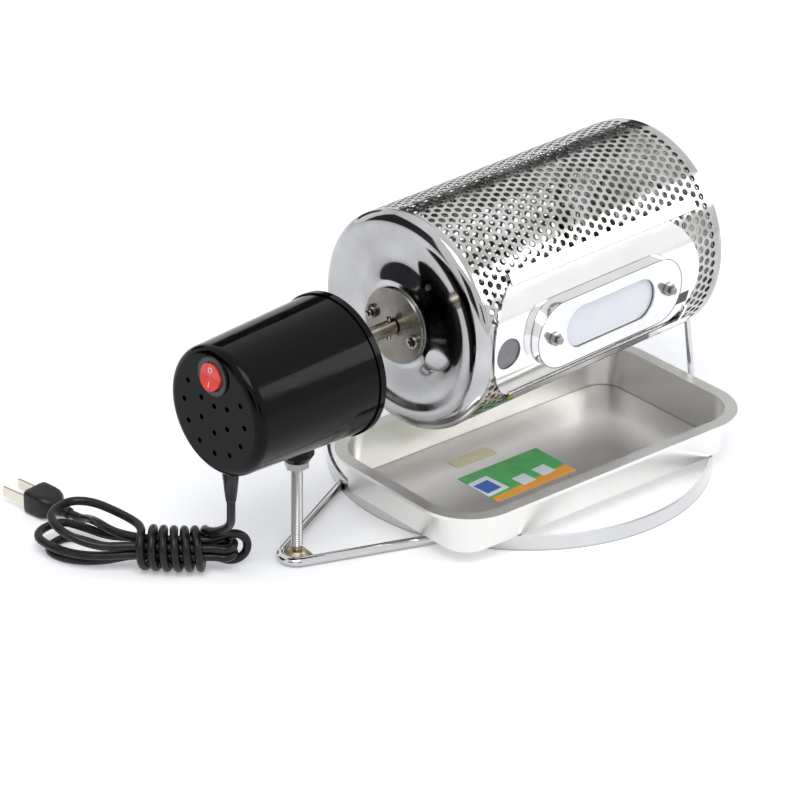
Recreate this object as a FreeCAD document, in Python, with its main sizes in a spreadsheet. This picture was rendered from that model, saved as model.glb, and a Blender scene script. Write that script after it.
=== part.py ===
"""Home coffee bean roaster: a perforated drum with a sliding door turns over a chaff tray.

Frame: origin on the floor midway along the roaster, +X along the drum axis away from the motor,
+Z up, the door faces -Y. Lengths are in millimetres and angles in degrees.
"""
import math
import os

import FreeCAD
import Part
import Sketcher

DRIVING = {
    "axis_height": 127.0,
    "sheet_wall": 1.0,
    "slip_gap": 0.1,
    "run_gap": 0.3,
    "ring_radius": 120.0,
    "ring_wall": 2.0,
    "ring_height": 10.0,
    "rod_radius": 3.0,
    "rod_spread_angle": 23.8,
    "rod_bend": 9.5,
    "post_x": -123.5,
    "post_radius": 3.0,
    "thread_radius": 3.7,
    "thread_length": 34.0,
    "nut_across": 13.0,
    "nut_height": 5.0,
    "wire_radius": 2.0,
    "wire_foot_y": 45.0,
    "wire_top_y": 19.0,
    "wire_lean": 5.0,
    "wire_from_drum": 18.7,
    "wire_hump_rise": 5.0,
    "wire_bend": 5.0,
    "housing_x": -187.0,
    "housing_length": 93.0,
    "housing_drop": 7.8,
    "housing_front_radius": 39.4,
    "housing_rear_radius": 43.0,
    "housing_wall": 2.5,
    "housing_edge": 6.0,
    "rim_width": 4.0,
    "rim_rise": 0.9,
    "boss_radius": 10.5,
    "boss_tip_radius": 8.0,
    "boss_depth": 13.0,
    "vent_radius": 1.7,
    "vent_outer_ring": 25.5,
    "vent_inner_ring": 12.5,
    "switch_rise": 23.5,
    "switch_radius": 10.2,
    "switch_depth": 17.0,
    "bezel_radius": 11.7,
    "bezel_proud": 1.5,
    "rocker_radius": 8.2,
    "rocker_proud": 2.2,
    "rocker_tilt": 8.0,
    "rocker_pivot_radius": 2.0,
    "cover_wall": 2.5,
    "cover_inset": 3.0,
    "cover_screw_ring": 35.5,
    "lug_radius": 3.6,
    "lug_length": 12.0,
    "lug_bore_radius": 1.6,
    "cover_hole_radius": 1.7,
    "cover_shank_radius": 1.5,
    "sleeve_room": 0.8,
    "post_sink": 9.0,
    "boss_bore_room": 0.5,
    "boss_taper_height": 4.0,
    "boss_overlap": 3.0,
    "weld_lift": 0.4,
    "can_groove_width": 2.0,
    "can_groove_depth": 0.8,
    "can_groove_place": 12.0,
    "cutter_length": 6.0,
    "cover_screw_length": 11.0,
    "cover_head_radius": 3.2,
    "cover_head_height": 1.6,
    "gearbox_radius": 30.0,
    "gearbox_length": 28.0,
    "motor_radius": 25.0,
    "motor_length": 26.0,
    "gland_from_face": 12.0,
    "gland_length": 17.5,
    "gland_radius": 5.0,
    "drum_x": -34.0,
    "drum_length": 200.0,
    "drum_radius": 68.0,
    "cap_rise": 10.0,
    "cap_flat_radius": 26.0,
    "cap_skirt": 5.0,
    "cap_bead": 0.3,
    "flange_radius": 23.5,
    "flange_wall": 2.0,
    "flange_screw_ring": 18.0,
    "flange_screw_turn": 12.0,
    "screw_radius": 2.0,
    "screw_head_height": 2.4,
    "screw_tail": 5.0,
    "screw_nut_height": 3.0,
    "stub_radius": 3.0,
    "sleeve_radius": 4.7,
    "pin_radius": 1.5,
    "pin_length": 14.0,
    "pin_stand": 4.0,
    "axle_length": 14.5,
    "axle_collar_radius": 5.0,
    "vane_depth": 14.0,
    "vane_end_gap": 12.0,
    "door_start": 2.4,
    "door_length": 177.6,
    "door_half_angle": 33.0,
    "door_end_sagitta": 25.0,
    "finger_x": 14.0,
    "finger_radius": 9.7,
    "rail_start": 25.0,
    "rail_length": 160.0,
    "rail_stop_x": 172.6,
    "rail_stop_length": 2.5,
    "rail_stop_angle": 16.0,
    "rail_lip_angle": 3.0,
    "rail_foot_angle": 3.0,
    "feed_start": 58.0,
    "feed_length": 104.0,
    "feed_half_height": 24.0,
    "window_x": 95.0,
    "pane_length": 77.0,
    "pane_height": 27.0,
    "bezel_length": 125.0,
    "bezel_height": 42.0,
    "bezel_rise": 6.0,
    "glass_wall": 3.2,
    "glass_lap": 4.0,
    "gasket_wall": 1.0,
    "stud_from_window": 49.5,
    "stud_radius": 2.0,
    "stud_height": 6.0,
    "catch_x": 161.0,
    "catch_drop": 16.5,
    "catch_length": 24.0,
    "catch_height": 8.0,
    "tray_x": 51.0,
    "tray_y": -29.0,
    "tray_turn_angle": -4.3,
    "tray_length": 244.0,
    "tray_width": 139.0,
    "tray_depth": 27.0,
    "tray_rim": 7.0,
    "tray_rim_wall": 2.2,
    "tray_slope": 4.0,
    "tray_rim_corner": 34.0,
    "tray_floor_corner": 16.5,
    "label_wall": 0.3,
    "sticker_length": 64.0,
    "sticker_width": 37.0,
    "sticker_x": -19.0,
    "sticker_y": -3.0,
    "label_length": 32.0,
    "label_width": 11.0,
    "label_x": -26.0,
    "label_y": 31.0,
    "cord_diameter": 5.2,
    "hank_tip_ahead": 19.4,
    "hank_tip_aside": 16.1,
    "plug_length": 30.0,
    "plug_width": 19.0,
    "plug_height": 16.0,
    "plug_pin_length": 18.0,
    "plug_pin_spacing": 12.7,
    "plug_pin_width": 6.4,
    "plug_pin_wall": 1.5,
}


class Size:
    """A number together with the spreadsheet expression that gives it."""

    def __init__(self, value, text=None):
        self.value = float(value)
        self.text = text if text else repr(float(value))

    def _join(self, other, sign, value):
        return Size(value, "(%s %s %s)" % (self.text, sign, other.text))

    def __add__(self, other):
        other = as_size(other)
        return self._join(other, "+", self.value + other.value)

    def __sub__(self, other):
        other = as_size(other)
        return self._join(other, "-", self.value - other.value)

    def __mul__(self, other):
        other = as_size(other)
        return self._join(other, "*", self.value * other.value)

    def __truediv__(self, other):
        other = as_size(other)
        return self._join(other, "/", self.value / other.value)

    def __radd__(self, other):
        return as_size(other) + self

    def __rsub__(self, other):
        return as_size(other) - self

    def __rmul__(self, other):
        return as_size(other) * self

    def __neg__(self):
        return as_size(0.0) - self


def as_size(number):
    return number if isinstance(number, Size) else Size(number)


def size_of(name, *arguments):
    """Trigonometry and roots, in numbers and in the sheet's own words."""
    values = [as_size(a).value for a in arguments]
    words = [as_size(a).text for a in arguments]
    if name == "sqrt":
        return Size(math.sqrt(values[0]), "sqrt(%s)" % words[0])
    turn = math.radians(values[0])
    found = {"sin": math.sin(turn), "cos": math.cos(turn), "tan": math.tan(turn)}[name]
    return Size(found, "%s(%s * 1 deg)" % (name, words[0]))


doc = FreeCAD.newDocument("CoffeeRoaster")
sheet = doc.addObject("Spreadsheet::Sheet", "Sizes")
S = {}
for row, (alias, number) in enumerate(DRIVING.items(), start=1):
    sheet.set("A%d" % row, alias.replace("_", " "))
    sheet.set("B%d" % row, str(number))
    sheet.setAlias("B%d" % row, alias)
    S[alias] = Size(number, "Sizes.%s" % alias)
doc.recompute()

NODES = []


def num(size):
    return as_size(size).value


def bind(item, path, size):
    """Give a property its value and tie it to the sheet."""
    size = as_size(size)
    item.setExpression(path, size.text)
    return item


def place(item, x=0.0, y=0.0, z=0.0, axis=None, turn=0.0):
    """Put an object at a bound position, turned about an axis first."""
    turned = FreeCAD.Rotation(FreeCAD.Vector(*(axis or (0, 0, 1))), turn)
    item.Placement = FreeCAD.Placement(FreeCAD.Vector(num(x), num(y), num(z)), turned)
    for letter, size in (("x", x), ("y", y), ("z", z)):
        bind(item, "Placement.Base." + letter, size)
    return item


ALONG_X = ((0, 1, 0), 90.0)
ALONG_Y = ((1, 0, 0), -90.0)
AXIS_Z = S["axis_height"]


def add(kind, name, **sizes):
    item = doc.addObject(kind, name)
    for path, size in sizes.items():
        bind(item, path, size)
    return item


def cylinder(name, radius, length, x=0.0, y=0.0, z=0.0, along=None):
    item = add("Part::Cylinder", name, Radius=radius, Height=length)
    axis, turn = along or ((0, 0, 1), 0.0)
    return place(item, x, y, z, axis, turn)


def cone(name, radius, tip_radius, length, x=0.0, y=0.0, z=0.0, along=None):
    item = add("Part::Cone", name, Radius1=radius, Radius2=tip_radius, Height=length)
    axis, turn = along or ((0, 0, 1), 0.0)
    return place(item, x, y, z, axis, turn)


def box(name, length, width, height, x=0.0, y=0.0, z=0.0):
    """A box centred on x and y, standing on z."""
    item = add("Part::Box", name, Length=length, Width=width, Height=height)
    return place(item, as_size(x) - as_size(length) / 2, as_size(y) - as_size(width) / 2, z)


def cut(name, base, *tools):
    for step, tool in enumerate(tools):
        last = step == len(tools) - 1
        item = doc.addObject("Part::Cut", name if last else "%s_cut%d" % (name, step))
        item.Base = base
        item.Tool = tool
        base = item
    return base


def fuse(name, *shapes):
    item = doc.addObject("Part::MultiFuse", name)
    item.Shapes = list(shapes)
    return item


def common(name, *shapes):
    item = doc.addObject("Part::MultiCommon", name)
    item.Shapes = list(shapes)
    return item


def node(name, item):
    """Name a finished sub-part: its label is also its file's name."""
    item.Label = name
    NODES.append(item)
    return item


def copies(name, item, spots, axis=(0, 0, 1), centre=(0.0, 0.0, 0.0)):
    """Separate solids of one fastener, turned about a centre by each angle."""
    doc.recompute()
    middle = FreeCAD.Vector(*[num(c) for c in centre])
    solids = []
    for turn in spots:
        solid = item.Shape.copy()
        solid.rotate(middle, FreeCAD.Vector(*axis), turn)
        solids.append(solid)
    group = doc.addObject("Part::Feature", name + "_group")
    group.Shape = Part.makeCompound(solids)
    return node(name, group)


def point_bound(sketch, index, end, kind, size):
    """Tie one coordinate of a point of a sketch element to the sheet."""
    if abs(num(size)) < 1e-9:
        zero_axis = -2 if kind == "DistanceX" else -1
        sketch.addConstraint(Sketcher.Constraint("PointOnObject", index, end, zero_axis))
        return
    number = sketch.addConstraint(Sketcher.Constraint(kind, -1, 1, index, end, num(size)))
    sketch.setExpression("Constraints[%d]" % number, as_size(size).text)


def outline(sketch, corners):
    """A closed profile. A corner is (x, y) or (x, y, bulge): the side that leaves it is then an
    arc whose middle stands off the chord by the bulge, to the left of travel if positive. A half
    round has an upright chord, with its centre on it."""
    points = [FreeCAD.Vector(num(c[0]), num(c[1]), 0) for c in corners]
    count = len(corners)
    for i, corner in enumerate(corners):
        start, end = points[i], points[(i + 1) % count]
        if len(corner) == 2:
            sketch.addGeometry(Part.LineSegment(start, end), False)
            continue
        chord = end - start
        left = FreeCAD.Vector(-chord.y, chord.x, 0).normalize()
        middle = (start + end) * 0.5 + left * num(corner[2])
        ends = (end, start) if num(corner[2]) > 0 else (start, end)
        sketch.addGeometry(Part.Arc(ends[0], middle, ends[1]), False)
    for i, corner in enumerate(corners):
        geometry = sketch.Geometry[i]
        first = 1 if geometry.StartPoint.distanceToPoint(points[i]) < 1e-6 else 2
        point_bound(sketch, i, first, "DistanceX", corner[0])
        point_bound(sketch, i, first, "DistanceY", corner[1])
    for i, corner in enumerate(corners):
        here, there = sketch.Geometry[i], sketch.Geometry[(i + 1) % count]
        meeting = points[(i + 1) % count]
        last = 2 if here.EndPoint.distanceToPoint(meeting) < 1e-6 else 1
        first = 1 if there.StartPoint.distanceToPoint(meeting) < 1e-6 else 2
        sketch.addConstraint(Sketcher.Constraint("Coincident", i, last, (i + 1) % count, first))
        if len(corner) == 3:
            far = corners[(i + 1) % count]
            run_x, run_y = as_size(far[0]) - corner[0], as_size(far[1]) - corner[1]
            half = size_of("sqrt", run_x * run_x + run_y * run_y) / 2
            bulge = as_size(corner[2])
            bulge = -bulge if num(bulge) < 0 else bulge
            if abs(num(half) - num(bulge)) < 1e-6:
                point_bound(sketch, i, 3, "DistanceX", corner[0])
                continue
            radius = (half * half + bulge * bulge) / (bulge * 2)
            number = sketch.addConstraint(Sketcher.Constraint("Radius", i, num(radius)))
            sketch.setExpression("Constraints[%d]" % number, radius.text)


def slot_corners(length, height, x=0.0, z=0.0):
    """A slot with half-round ends, centred on x and z."""
    x, z, length, height = as_size(x), as_size(z), as_size(length), as_size(height)
    run, half = (length - height) / 2, height / 2
    return [(x - run, z - half), (x + run, z - half, -half), (x + run, z + half), (x - run, z + half, -half)]


def plate_corners(length, width, radius):
    """A rectangle with round corners, centred on the origin."""
    half_x, half_y, radius = as_size(length) / 2, as_size(width) / 2, as_size(radius)
    bulge = -(radius * (1.0 - math.sqrt(0.5)))
    inner_x, inner_y = half_x - radius, half_y - radius
    return [(-inner_x, -half_y), (inner_x, -half_y, bulge), (half_x, -inner_y), (half_x, inner_y, bulge),
            (inner_x, half_y), (-inner_x, half_y, bulge), (-half_x, inner_y), (-half_x, -inner_y, bulge)]


def body(name):
    return doc.addObject("PartDesign::Body", name)


def plane_of(part, role):
    return next(f for f in part.Origin.OriginFeatures if f.Role == role)


def sketch_on(part, name, role, corners, lift=0.0):
    sketch = part.newObject("Sketcher::SketchObject", name)
    sketch.AttachmentSupport = [(plane_of(part, role), "")]
    sketch.MapMode = "FlatFace"
    if num(lift):
        sketch.AttachmentOffset = FreeCAD.Placement(FreeCAD.Vector(0, 0, num(lift)), FreeCAD.Rotation())
        sketch.setExpression("AttachmentOffset.Base.z", as_size(lift).text)
    outline(sketch, corners)
    return sketch


def revolve(part, name, corners, groove=False):
    """Turn a profile, given as (distance along the axis, radius), about the body's X axis."""
    sketch = sketch_on(part, name + "_profile", "XZ_Plane", corners)
    kind = "PartDesign::Groove" if groove else "PartDesign::Revolution"
    item = part.newObject(kind, name)
    item.Profile = sketch
    item.ReferenceAxis = (sketch, ["H_Axis"])
    item.Angle = 360.0
    return item


def slab(name, corners, near, far):
    """A prism whose outline lies in XZ, between two distances from the drum's axis towards -Y."""
    sketch = doc.addObject("Sketcher::SketchObject", name + "_outline")
    outline(sketch, corners)
    item = doc.addObject("Part::Extrusion", name)
    item.Base = sketch
    item.DirMode = "Normal"
    item.Solid = True
    bind(item, "LengthFwd", as_size(far) - near)
    place(sketch, 0.0, -as_size(near), AXIS_Z, (1, 0, 0), 90.0)
    return item


def tube(name, inner, outer, x, length, start=None, sweep=None):
    """A tube about the drum's axis, or a sector of it. Angles run from -Y upwards."""
    parts = []
    for tag, radius in (("outer", outer), ("inner", inner)):
        item = add("Part::Cylinder", "%s_%s" % (name, tag), Radius=radius, Height=length)
        place(item, x, 0.0, AXIS_Z, (0, 1, 0), 90.0)
        turned = FreeCAD.Rotation(FreeCAD.Vector(0, 1, 0), 90.0)
        if sweep is not None and tag == "outer":
            bind(item, "Angle", sweep)
            aimed = FreeCAD.Rotation(FreeCAD.Vector(1, 0, 0), -90.0 - num(start) - num(sweep))
            turned = aimed.multiply(turned)
        base = item.Placement.Base
        item.Placement = FreeCAD.Placement(base, turned)
        parts.append(item)
    return cut(name, *parts)


def route(points, bends):
    """Straight runs joined by tangent arcs. bends holds the radius at each inner point."""
    points = [FreeCAD.Vector(*p) for p in points]
    edges = []
    here = points[0]
    for before, corner, after, radius in zip(points, points[1:], points[2:], bends):
        come = (corner - before).normalize()
        leave = (after - corner).normalize()
        turn = come.getAngle(leave)
        back = radius * math.tan(turn / 2)
        start, end = corner - come * back, corner + leave * back
        inward = (leave - come).normalize()
        middle = corner + inward * (radius / math.cos(turn / 2) - radius)
        if here.distanceToPoint(start) > 1e-6:
            edges.append(Part.makeLine(here, start))
        edges.append(Part.Arc(start, middle, end).toShape())
        here = end
    edges.append(Part.makeLine(here, points[-1]))
    return Part.Wire(edges)


def swept(name, spine, radius):
    """A round rod or cord along a wire."""
    start = spine.OrderedEdges[0]
    first = start.valueAt(start.FirstParameter)
    heading = start.tangentAt(start.FirstParameter)
    ring = Part.Wire([Part.makeCircle(radius, first, heading)])
    item = doc.addObject("Part::Feature", name)
    item.Shape = spine.makePipeShell([ring], True, False)
    volume = math.pi * radius * radius * spine.Length
    print("%s: length %.1f, volume ratio %.4f" % (name, spine.Length, item.Shape.Volume / volume))
    return item


# The stand: band ring, bent rod, post and rear wire

DRUM_X = S["drum_x"]
DRUM_END = DRUM_X + S["drum_length"]
WIRE_TOP_X = DRUM_END + S["wire_from_drum"]
WIRE_FOOT_X = WIRE_TOP_X - S["wire_lean"]
WIRE_RING = S["ring_radius"] + S["run_gap"] * 2 + S["wire_radius"]
RING_X = WIRE_FOOT_X - size_of("sqrt", WIRE_RING * WIRE_RING - S["wire_foot_y"] * S["wire_foot_y"])
POST_X = S["post_x"]
HOUSING_Z = AXIS_Z - S["housing_drop"]
HOUSING_END = S["housing_x"] + S["housing_length"]
GLAND_X = S["housing_x"] + S["gland_from_face"]


def build_ring():
    outer = cylinder("ring_outer", S["ring_radius"], S["ring_height"], RING_X)
    inner = cylinder("ring_inner", S["ring_radius"] - S["ring_wall"], S["ring_height"], RING_X)
    node("base_ring", cut("base_ring", outer, inner))


def build_rod():
    """The rod leaves the ring, runs to the bend round the post and comes back."""
    spread = math.radians(num(S["rod_spread_angle"]))
    radius, bend, ring = num(S["rod_radius"]), num(S["rod_bend"]), num(S["ring_radius"])
    corner_x = num(POST_X) - bend / math.sin(spread)
    reach = num(RING_X) - corner_x
    run = reach * math.cos(spread) - math.sqrt(ring ** 2 - (reach * math.sin(spread)) ** 2)
    run += radius / 2
    end = (corner_x + run * math.cos(spread), run * math.sin(spread))
    spine = route([(end[0], -end[1], radius), (corner_x, 0, radius), (end[0], end[1], radius)], [bend])
    rod = swept("rod_sweep", spine, radius)
    keep_out = cylinder("rod_ring_room", S["ring_radius"], S["ring_height"], RING_X)
    node("base_rod", cut("base_rod", rod, keep_out))
    return rod


def build_post(rod):
    """Weld bead in the bend, plain post, threaded top that stands in the boss."""
    bead_radius = S["rod_bend"] + S["rod_radius"] * 0.4
    bead = cone("weld_blank", bead_radius, S["post_radius"] + 2.0, S["rod_radius"] * 2, POST_X, 0.0,
                S["weld_lift"])
    hole = cylinder("weld_hole", S["post_radius"], S["rod_radius"] * 3, POST_X)
    node("post_weld", cut("post_weld", bead, hole, rod))
    boss_foot = HOUSING_Z - S["housing_front_radius"] - S["boss_depth"]
    nut_foot = boss_foot - S["nut_height"]
    thread_foot = nut_foot - S["thread_length"]
    plain = cylinder("post_plain", S["post_radius"], thread_foot - S["weld_lift"], POST_X, 0.0,
                     S["weld_lift"])
    thread = cylinder("post_thread", S["thread_radius"], boss_foot + S["post_sink"] - thread_foot, POST_X,
                      0.0,
                      thread_foot)
    node("motor_post", fuse("motor_post", plain, thread))
    blank = add("Part::Prism", "nut_blank", Circumradius=S["nut_across"] / math.sqrt(3.0),
                Height=S["nut_height"])
    blank.Polygon = 6
    place(blank, POST_X, 0.0, nut_foot)
    bore = cylinder("nut_bore", S["thread_radius"] + S["slip_gap"], S["nut_height"], POST_X, 0.0, nut_foot)
    node("post_nut", cut("post_nut", blank, bore))


def build_rear_support():
    """One wire: up from the ring, over a hump, down under the axle, and the same back."""
    wire, foot_y, top_y = num(S["wire_radius"]), num(S["wire_foot_y"]), num(S["wire_top_y"])
    x, top_x = num(WIRE_FOOT_X), num(WIRE_TOP_X)
    cradle = num(AXIS_Z) - num(S["stub_radius"]) - wire - num(S["slip_gap"])
    hump = num(AXIS_Z) + num(S["wire_hump_rise"])
    bend = num(S["wire_bend"])
    side = bend * 1.1
    points = [(x, -foot_y, 0.4), (top_x, -top_y, hump), (top_x, -side, hump), (top_x, -side, cradle),
              (top_x, side, cradle), (top_x, side, hump), (top_x, top_y, hump), (x, foot_y, 0.4)]
    spine = route(points, [bend * 0.8, bend * 0.8, bend, bend, bend * 0.8, bend * 0.8])
    node("rear_support", swept("rear_wire", spine, wire))


# The motor housing with what it carries

def build_housing():
    """A moulded cup that flares to its open rear end, with a rim bead, a boss and vents."""
    length, wall, edge = S["housing_length"], S["housing_wall"], S["housing_edge"]
    front, rear = S["housing_front_radius"], S["housing_rear_radius"]
    rim = rear + S["rim_rise"]
    inner_edge = edge - wall
    corner = 1.0 - math.sqrt(0.5)
    half_chord = math.sqrt(0.5)
    part = body("housing_body")
    outer_bulge = edge * (1.0 - half_chord)
    inner_bulge = inner_edge * corner
    profile = [
        (0.0, 0.0),
        (wall, 0.0),
        (wall, front - wall - inner_edge, -inner_bulge),
        (wall + inner_edge, front - wall),
        (length, rear - wall),
        (length, rim),
        (length - S["rim_width"], rim),
        (length - S["rim_width"], rear - 0.1),
        (edge, front, outer_bulge),
        (0.0, front - edge),
    ]
    profile = [p if len(p) == 2 else (p[0], p[1], -p[2]) for p in profile]
    revolve(part, "housing_cup", profile)
    place(part, S["housing_x"], 0.0, HOUSING_Z)
    z_foot = HOUSING_Z - front - S["boss_depth"]
    straight = cylinder("boss_straight", S["boss_radius"], S["boss_depth"] + S["boss_overlap"], POST_X, 0.0,
                        z_foot + S["boss_taper_height"])
    taper = cone("boss_taper", S["boss_tip_radius"], S["boss_radius"], S["boss_taper_height"], POST_X, 0.0,
                 z_foot)
    lug_x = HOUSING_END - S["cover_inset"] - S["cover_wall"] - S["lug_length"]
    lugs = []
    for turn in (90.0, 210.0, 330.0):
        y, z = lug_spot(turn)
        lugs.append(cylinder("lug_%d" % turn, S["lug_radius"], S["lug_length"], lug_x, y, HOUSING_Z + z,
                             ALONG_X))
    tools = [cylinder("boss_bore", S["thread_radius"] + S["slip_gap"],
                      S["post_sink"] + S["boss_bore_room"], POST_X, 0.0, z_foot)]
    hollow = cone("housing_hollow", front - wall - 1.0, rear - wall - 1.0, length,
                  S["housing_x"] + wall + edge, 0.0, HOUSING_Z, ALONG_X)
    trimmed = cut("housing_trimmed", fuse("boss_pair", straight, taper), hollow)
    shell = fuse("housing_shell", part, trimmed, *lugs)
    for turn in (90.0, 210.0, 330.0):
        y, z = lug_spot(turn)
        tools.append(cylinder("lug_bore_%d" % turn, S["lug_bore_radius"], 10.0, lug_x + 2.0, y,
                              HOUSING_Z + z, ALONG_X))
    vents = [(S["vent_outer_ring"], 150.0 + 30.0 * i) for i in range(9)]
    vents += [(S["vent_inner_ring"], turn) for turn in (150.0, 210.0, 270.0, 330.0, 390.0)]
    vents.append((S["vent_inner_ring"] * 0.35, 90.0))
    for i, (ring, turn) in enumerate(vents):
        y, z = -ring * size_of("cos", turn), ring * size_of("sin", turn)
        tools.append(cylinder("vent_%d" % i, S["vent_radius"], wall + 1.0, S["housing_x"] - 0.5, y,
                              HOUSING_Z + z, ALONG_X))
    tools.append(cylinder("switch_hole", S["switch_radius"] + S["slip_gap"], wall + 1.0,
                          S["housing_x"] - 0.5, 0.0, HOUSING_Z + S["switch_rise"], ALONG_X))
    tools.append(cylinder("gland_hole", S["gland_radius"] - 1.0, 12.0, GLAND_X, 0.0,
                          HOUSING_Z - front - 4.0))
    node("motor_housing", cut("motor_housing_done", shell, fuse("housing_tools", *tools)))


def lug_spot(turn):
    ring = S["cover_screw_ring"]
    return ring * size_of("cos", turn), ring * size_of("sin", turn)


def build_rear_cover():
    cover_x = HOUSING_END - S["cover_inset"] - S["cover_wall"]
    radius = S["housing_rear_radius"] - S["housing_wall"] - S["run_gap"] * 1.5
    disc = cylinder("cover_disc", radius, S["cover_wall"], cover_x, 0.0, HOUSING_Z, ALONG_X)
    tools = [cylinder("cover_shaft_hole", S["sleeve_radius"] + S["sleeve_room"], S["cutter_length"],
                      cover_x - 1.0, 0.0, AXIS_Z, ALONG_X)]
    for turn in (90.0, 210.0, 330.0):
        y, z = lug_spot(turn)
        tools.append(cylinder("cover_hole_%d" % turn, S["cover_hole_radius"], S["cutter_length"],
                              cover_x - 1.0, y,
                              HOUSING_Z + z, ALONG_X))
    node("housing_rear_cover", cut("housing_rear_cover", disc, *tools))
    screws = []
    for turn in (90.0, 210.0, 330.0):
        y, z = lug_spot(turn)
        z = HOUSING_Z + z
        length = S["cover_screw_length"]
        head_x = cover_x + S["cover_wall"]
        shank = cylinder("cover_shank_%d" % turn, S["cover_shank_radius"], length, head_x + 0.5 - length, y,
                         z, ALONG_X)
        head = cylinder("cover_head_%d" % turn, S["cover_head_radius"], S["cover_head_height"], head_x, y,
                        z, ALONG_X)
        screws.append(fuse("cover_screw_%d" % turn, shank, head))
    doc.recompute()
    group = doc.addObject("Part::Compound", "cover_screws")
    group.Links = screws
    node("cover_screws", group)
    return cover_x


def build_gearmotor(cover_x):
    """A round synchronous motor on a round gearbox whose output sits above its centre."""
    gear_x = cover_x - S["gearbox_length"]
    case = cylinder("gear_case", S["gearbox_radius"], S["gearbox_length"], gear_x, 0.0, HOUSING_Z, ALONG_X)
    bore = cylinder("gear_bore", S["sleeve_radius"] + 0.08, 13.0, cover_x - 13.0, 0.0, AXIS_Z, ALONG_X)
    node("gearbox", cut("gearbox", case, bore))
    motor_x = gear_x - S["motor_length"]
    can = cylinder("can", S["motor_radius"], S["motor_length"], motor_x, 0.0, HOUSING_Z, ALONG_X)
    groove = cylinder("can_groove_outer", S["motor_radius"] + 1.0, S["can_groove_width"],
                      motor_x + S["can_groove_place"], 0.0, HOUSING_Z,
                      ALONG_X)
    core = cylinder("can_groove_core", S["motor_radius"] - S["can_groove_depth"], S["can_groove_width"],
                    motor_x + S["can_groove_place"], 0.0, HOUSING_Z, ALONG_X)
    node("motor_can", cut("motor_can", can, cut("can_groove", groove, core)))


def build_switch():
    """Round bezel and switch body, and the rocker that tips about its middle."""
    z = HOUSING_Z + S["switch_rise"]
    x = S["housing_x"]
    flange = cylinder("switch_flange", S["bezel_radius"], S["bezel_proud"], x - S["bezel_proud"], 0.0, z,
                      ALONG_X)
    barrel = cylinder("switch_barrel", S["switch_radius"], S["switch_depth"], x, 0.0, z, ALONG_X)
    well = cylinder("switch_well", S["rocker_radius"] + S["run_gap"] * 2, 7.0, x - S["bezel_proud"], 0.0, z,
                    ALONG_X)
    node("switch_body", cut("switch_body", fuse("switch_solid", flange, barrel), well))
    disc = cylinder("rocker_disc", S["rocker_radius"], S["rocker_proud"] + 2.5,
                    -S["rocker_proud"] - S["bezel_proud"], 0.0, 0.0, ALONG_X)
    wedges = []
    for sign in (1, -1):
        wedge = box("rocker_wedge_%s" % ("up" if sign > 0 else "down"), 4.0, 30.0, 20.0, 0.0, 0.0, 0.0)
        tip = FreeCAD.Rotation(FreeCAD.Vector(0, 1, 0), -sign * 8.0)
        low = 0.0 if sign > 0 else -20.0
        corner = tip.multVec(FreeCAD.Vector(-4.0, -15.0, low))
        front = -num(S["rocker_proud"]) - num(S["bezel_proud"]) + 1.1
        for path in ("Placement.Base.x", "Placement.Base.y", "Placement.Base.z"):
            wedge.setExpression(path, None)
        wedge.Placement = FreeCAD.Placement(corner + FreeCAD.Vector(front, 0, 0), tip)
        wedges.append(wedge)
    pivot_reach = S["rocker_radius"] - S["run_gap"] * 2
    pivot = cylinder("rocker_pivot", S["rocker_pivot_radius"], pivot_reach * 2, 0.0, -pivot_reach, 0.0,
                     ALONG_Y)
    rocker = fuse("rocker_with_pivot", cut("rocker_cut", disc, *wedges), pivot)
    doc.recompute()
    piece = doc.addObject("Part::Feature", "rocker")
    piece.Shape = rocker.Shape
    tilt = FreeCAD.Rotation(FreeCAD.Vector(0, 1, 0), num(S["rocker_tilt"]))
    piece.Placement = FreeCAD.Placement(FreeCAD.Vector(num(x), 0, num(z)), tilt)
    node("switch_rocker", piece)


def build_gland():
    """Strain relief through the underside of the housing; the cord starts at its lower end."""
    top = HOUSING_Z - S["housing_front_radius"] + 6.0
    neck = cylinder("gland_neck", S["gland_radius"] - 1.3, 10.0, GLAND_X, 0.0, top - 7.0)
    foot = top - 10.0 - S["gland_length"]
    sleeve = cone("gland_sleeve", S["cord_diameter"] / 2 + 0.9, S["gland_radius"], S["gland_length"],
                  GLAND_X, 0.0, foot)
    collar = cylinder("gland_collar", S["gland_radius"] + 1.0, 2.5, GLAND_X, 0.0, top - 10.0)
    under = cone("gland_room", S["housing_front_radius"], S["housing_rear_radius"] - 0.1,
                 S["housing_length"] - S["housing_edge"], S["housing_x"] + S["housing_edge"], 0.0,
                 HOUSING_Z, ALONG_X)
    outside = cut("gland_outside", fuse("gland_skirt", sleeve, collar), under)
    node("cord_gland", fuse("cord_gland", outside, neck))
    return num(foot)


# The turning group: drive sleeve, flange, caps, shell, vanes, rails and rear axle

FLANGE_X = DRUM_X - S["cap_rise"] - S["flange_wall"]
REAR_FLANGE_X = DRUM_END + S["cap_rise"]
PIN_X = FLANGE_X - S["pin_stand"]


def build_sleeve(cover_x):
    start = cover_x - 12.0
    open_end = FLANGE_X - 1.0
    solid = cylinder("sleeve_solid", S["sleeve_radius"], open_end - start, start, 0.0, AXIS_Z, ALONG_X)
    bore_start = open_end - 34.0
    bore = cylinder("sleeve_bore", S["stub_radius"] + S["run_gap"], 40.0, bore_start, 0.0, AXIS_Z, ALONG_X)
    width = S["pin_radius"] * 2 + S["run_gap"] * 2
    slot_start = PIN_X - S["pin_radius"] - S["run_gap"]
    slot = box("sleeve_slot", 10.0, width, 20.0, slot_start + 5.0, 0.0, AXIS_Z - 10.0)
    node("drive_sleeve", cut("drive_sleeve", solid, bore, slot))


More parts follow.
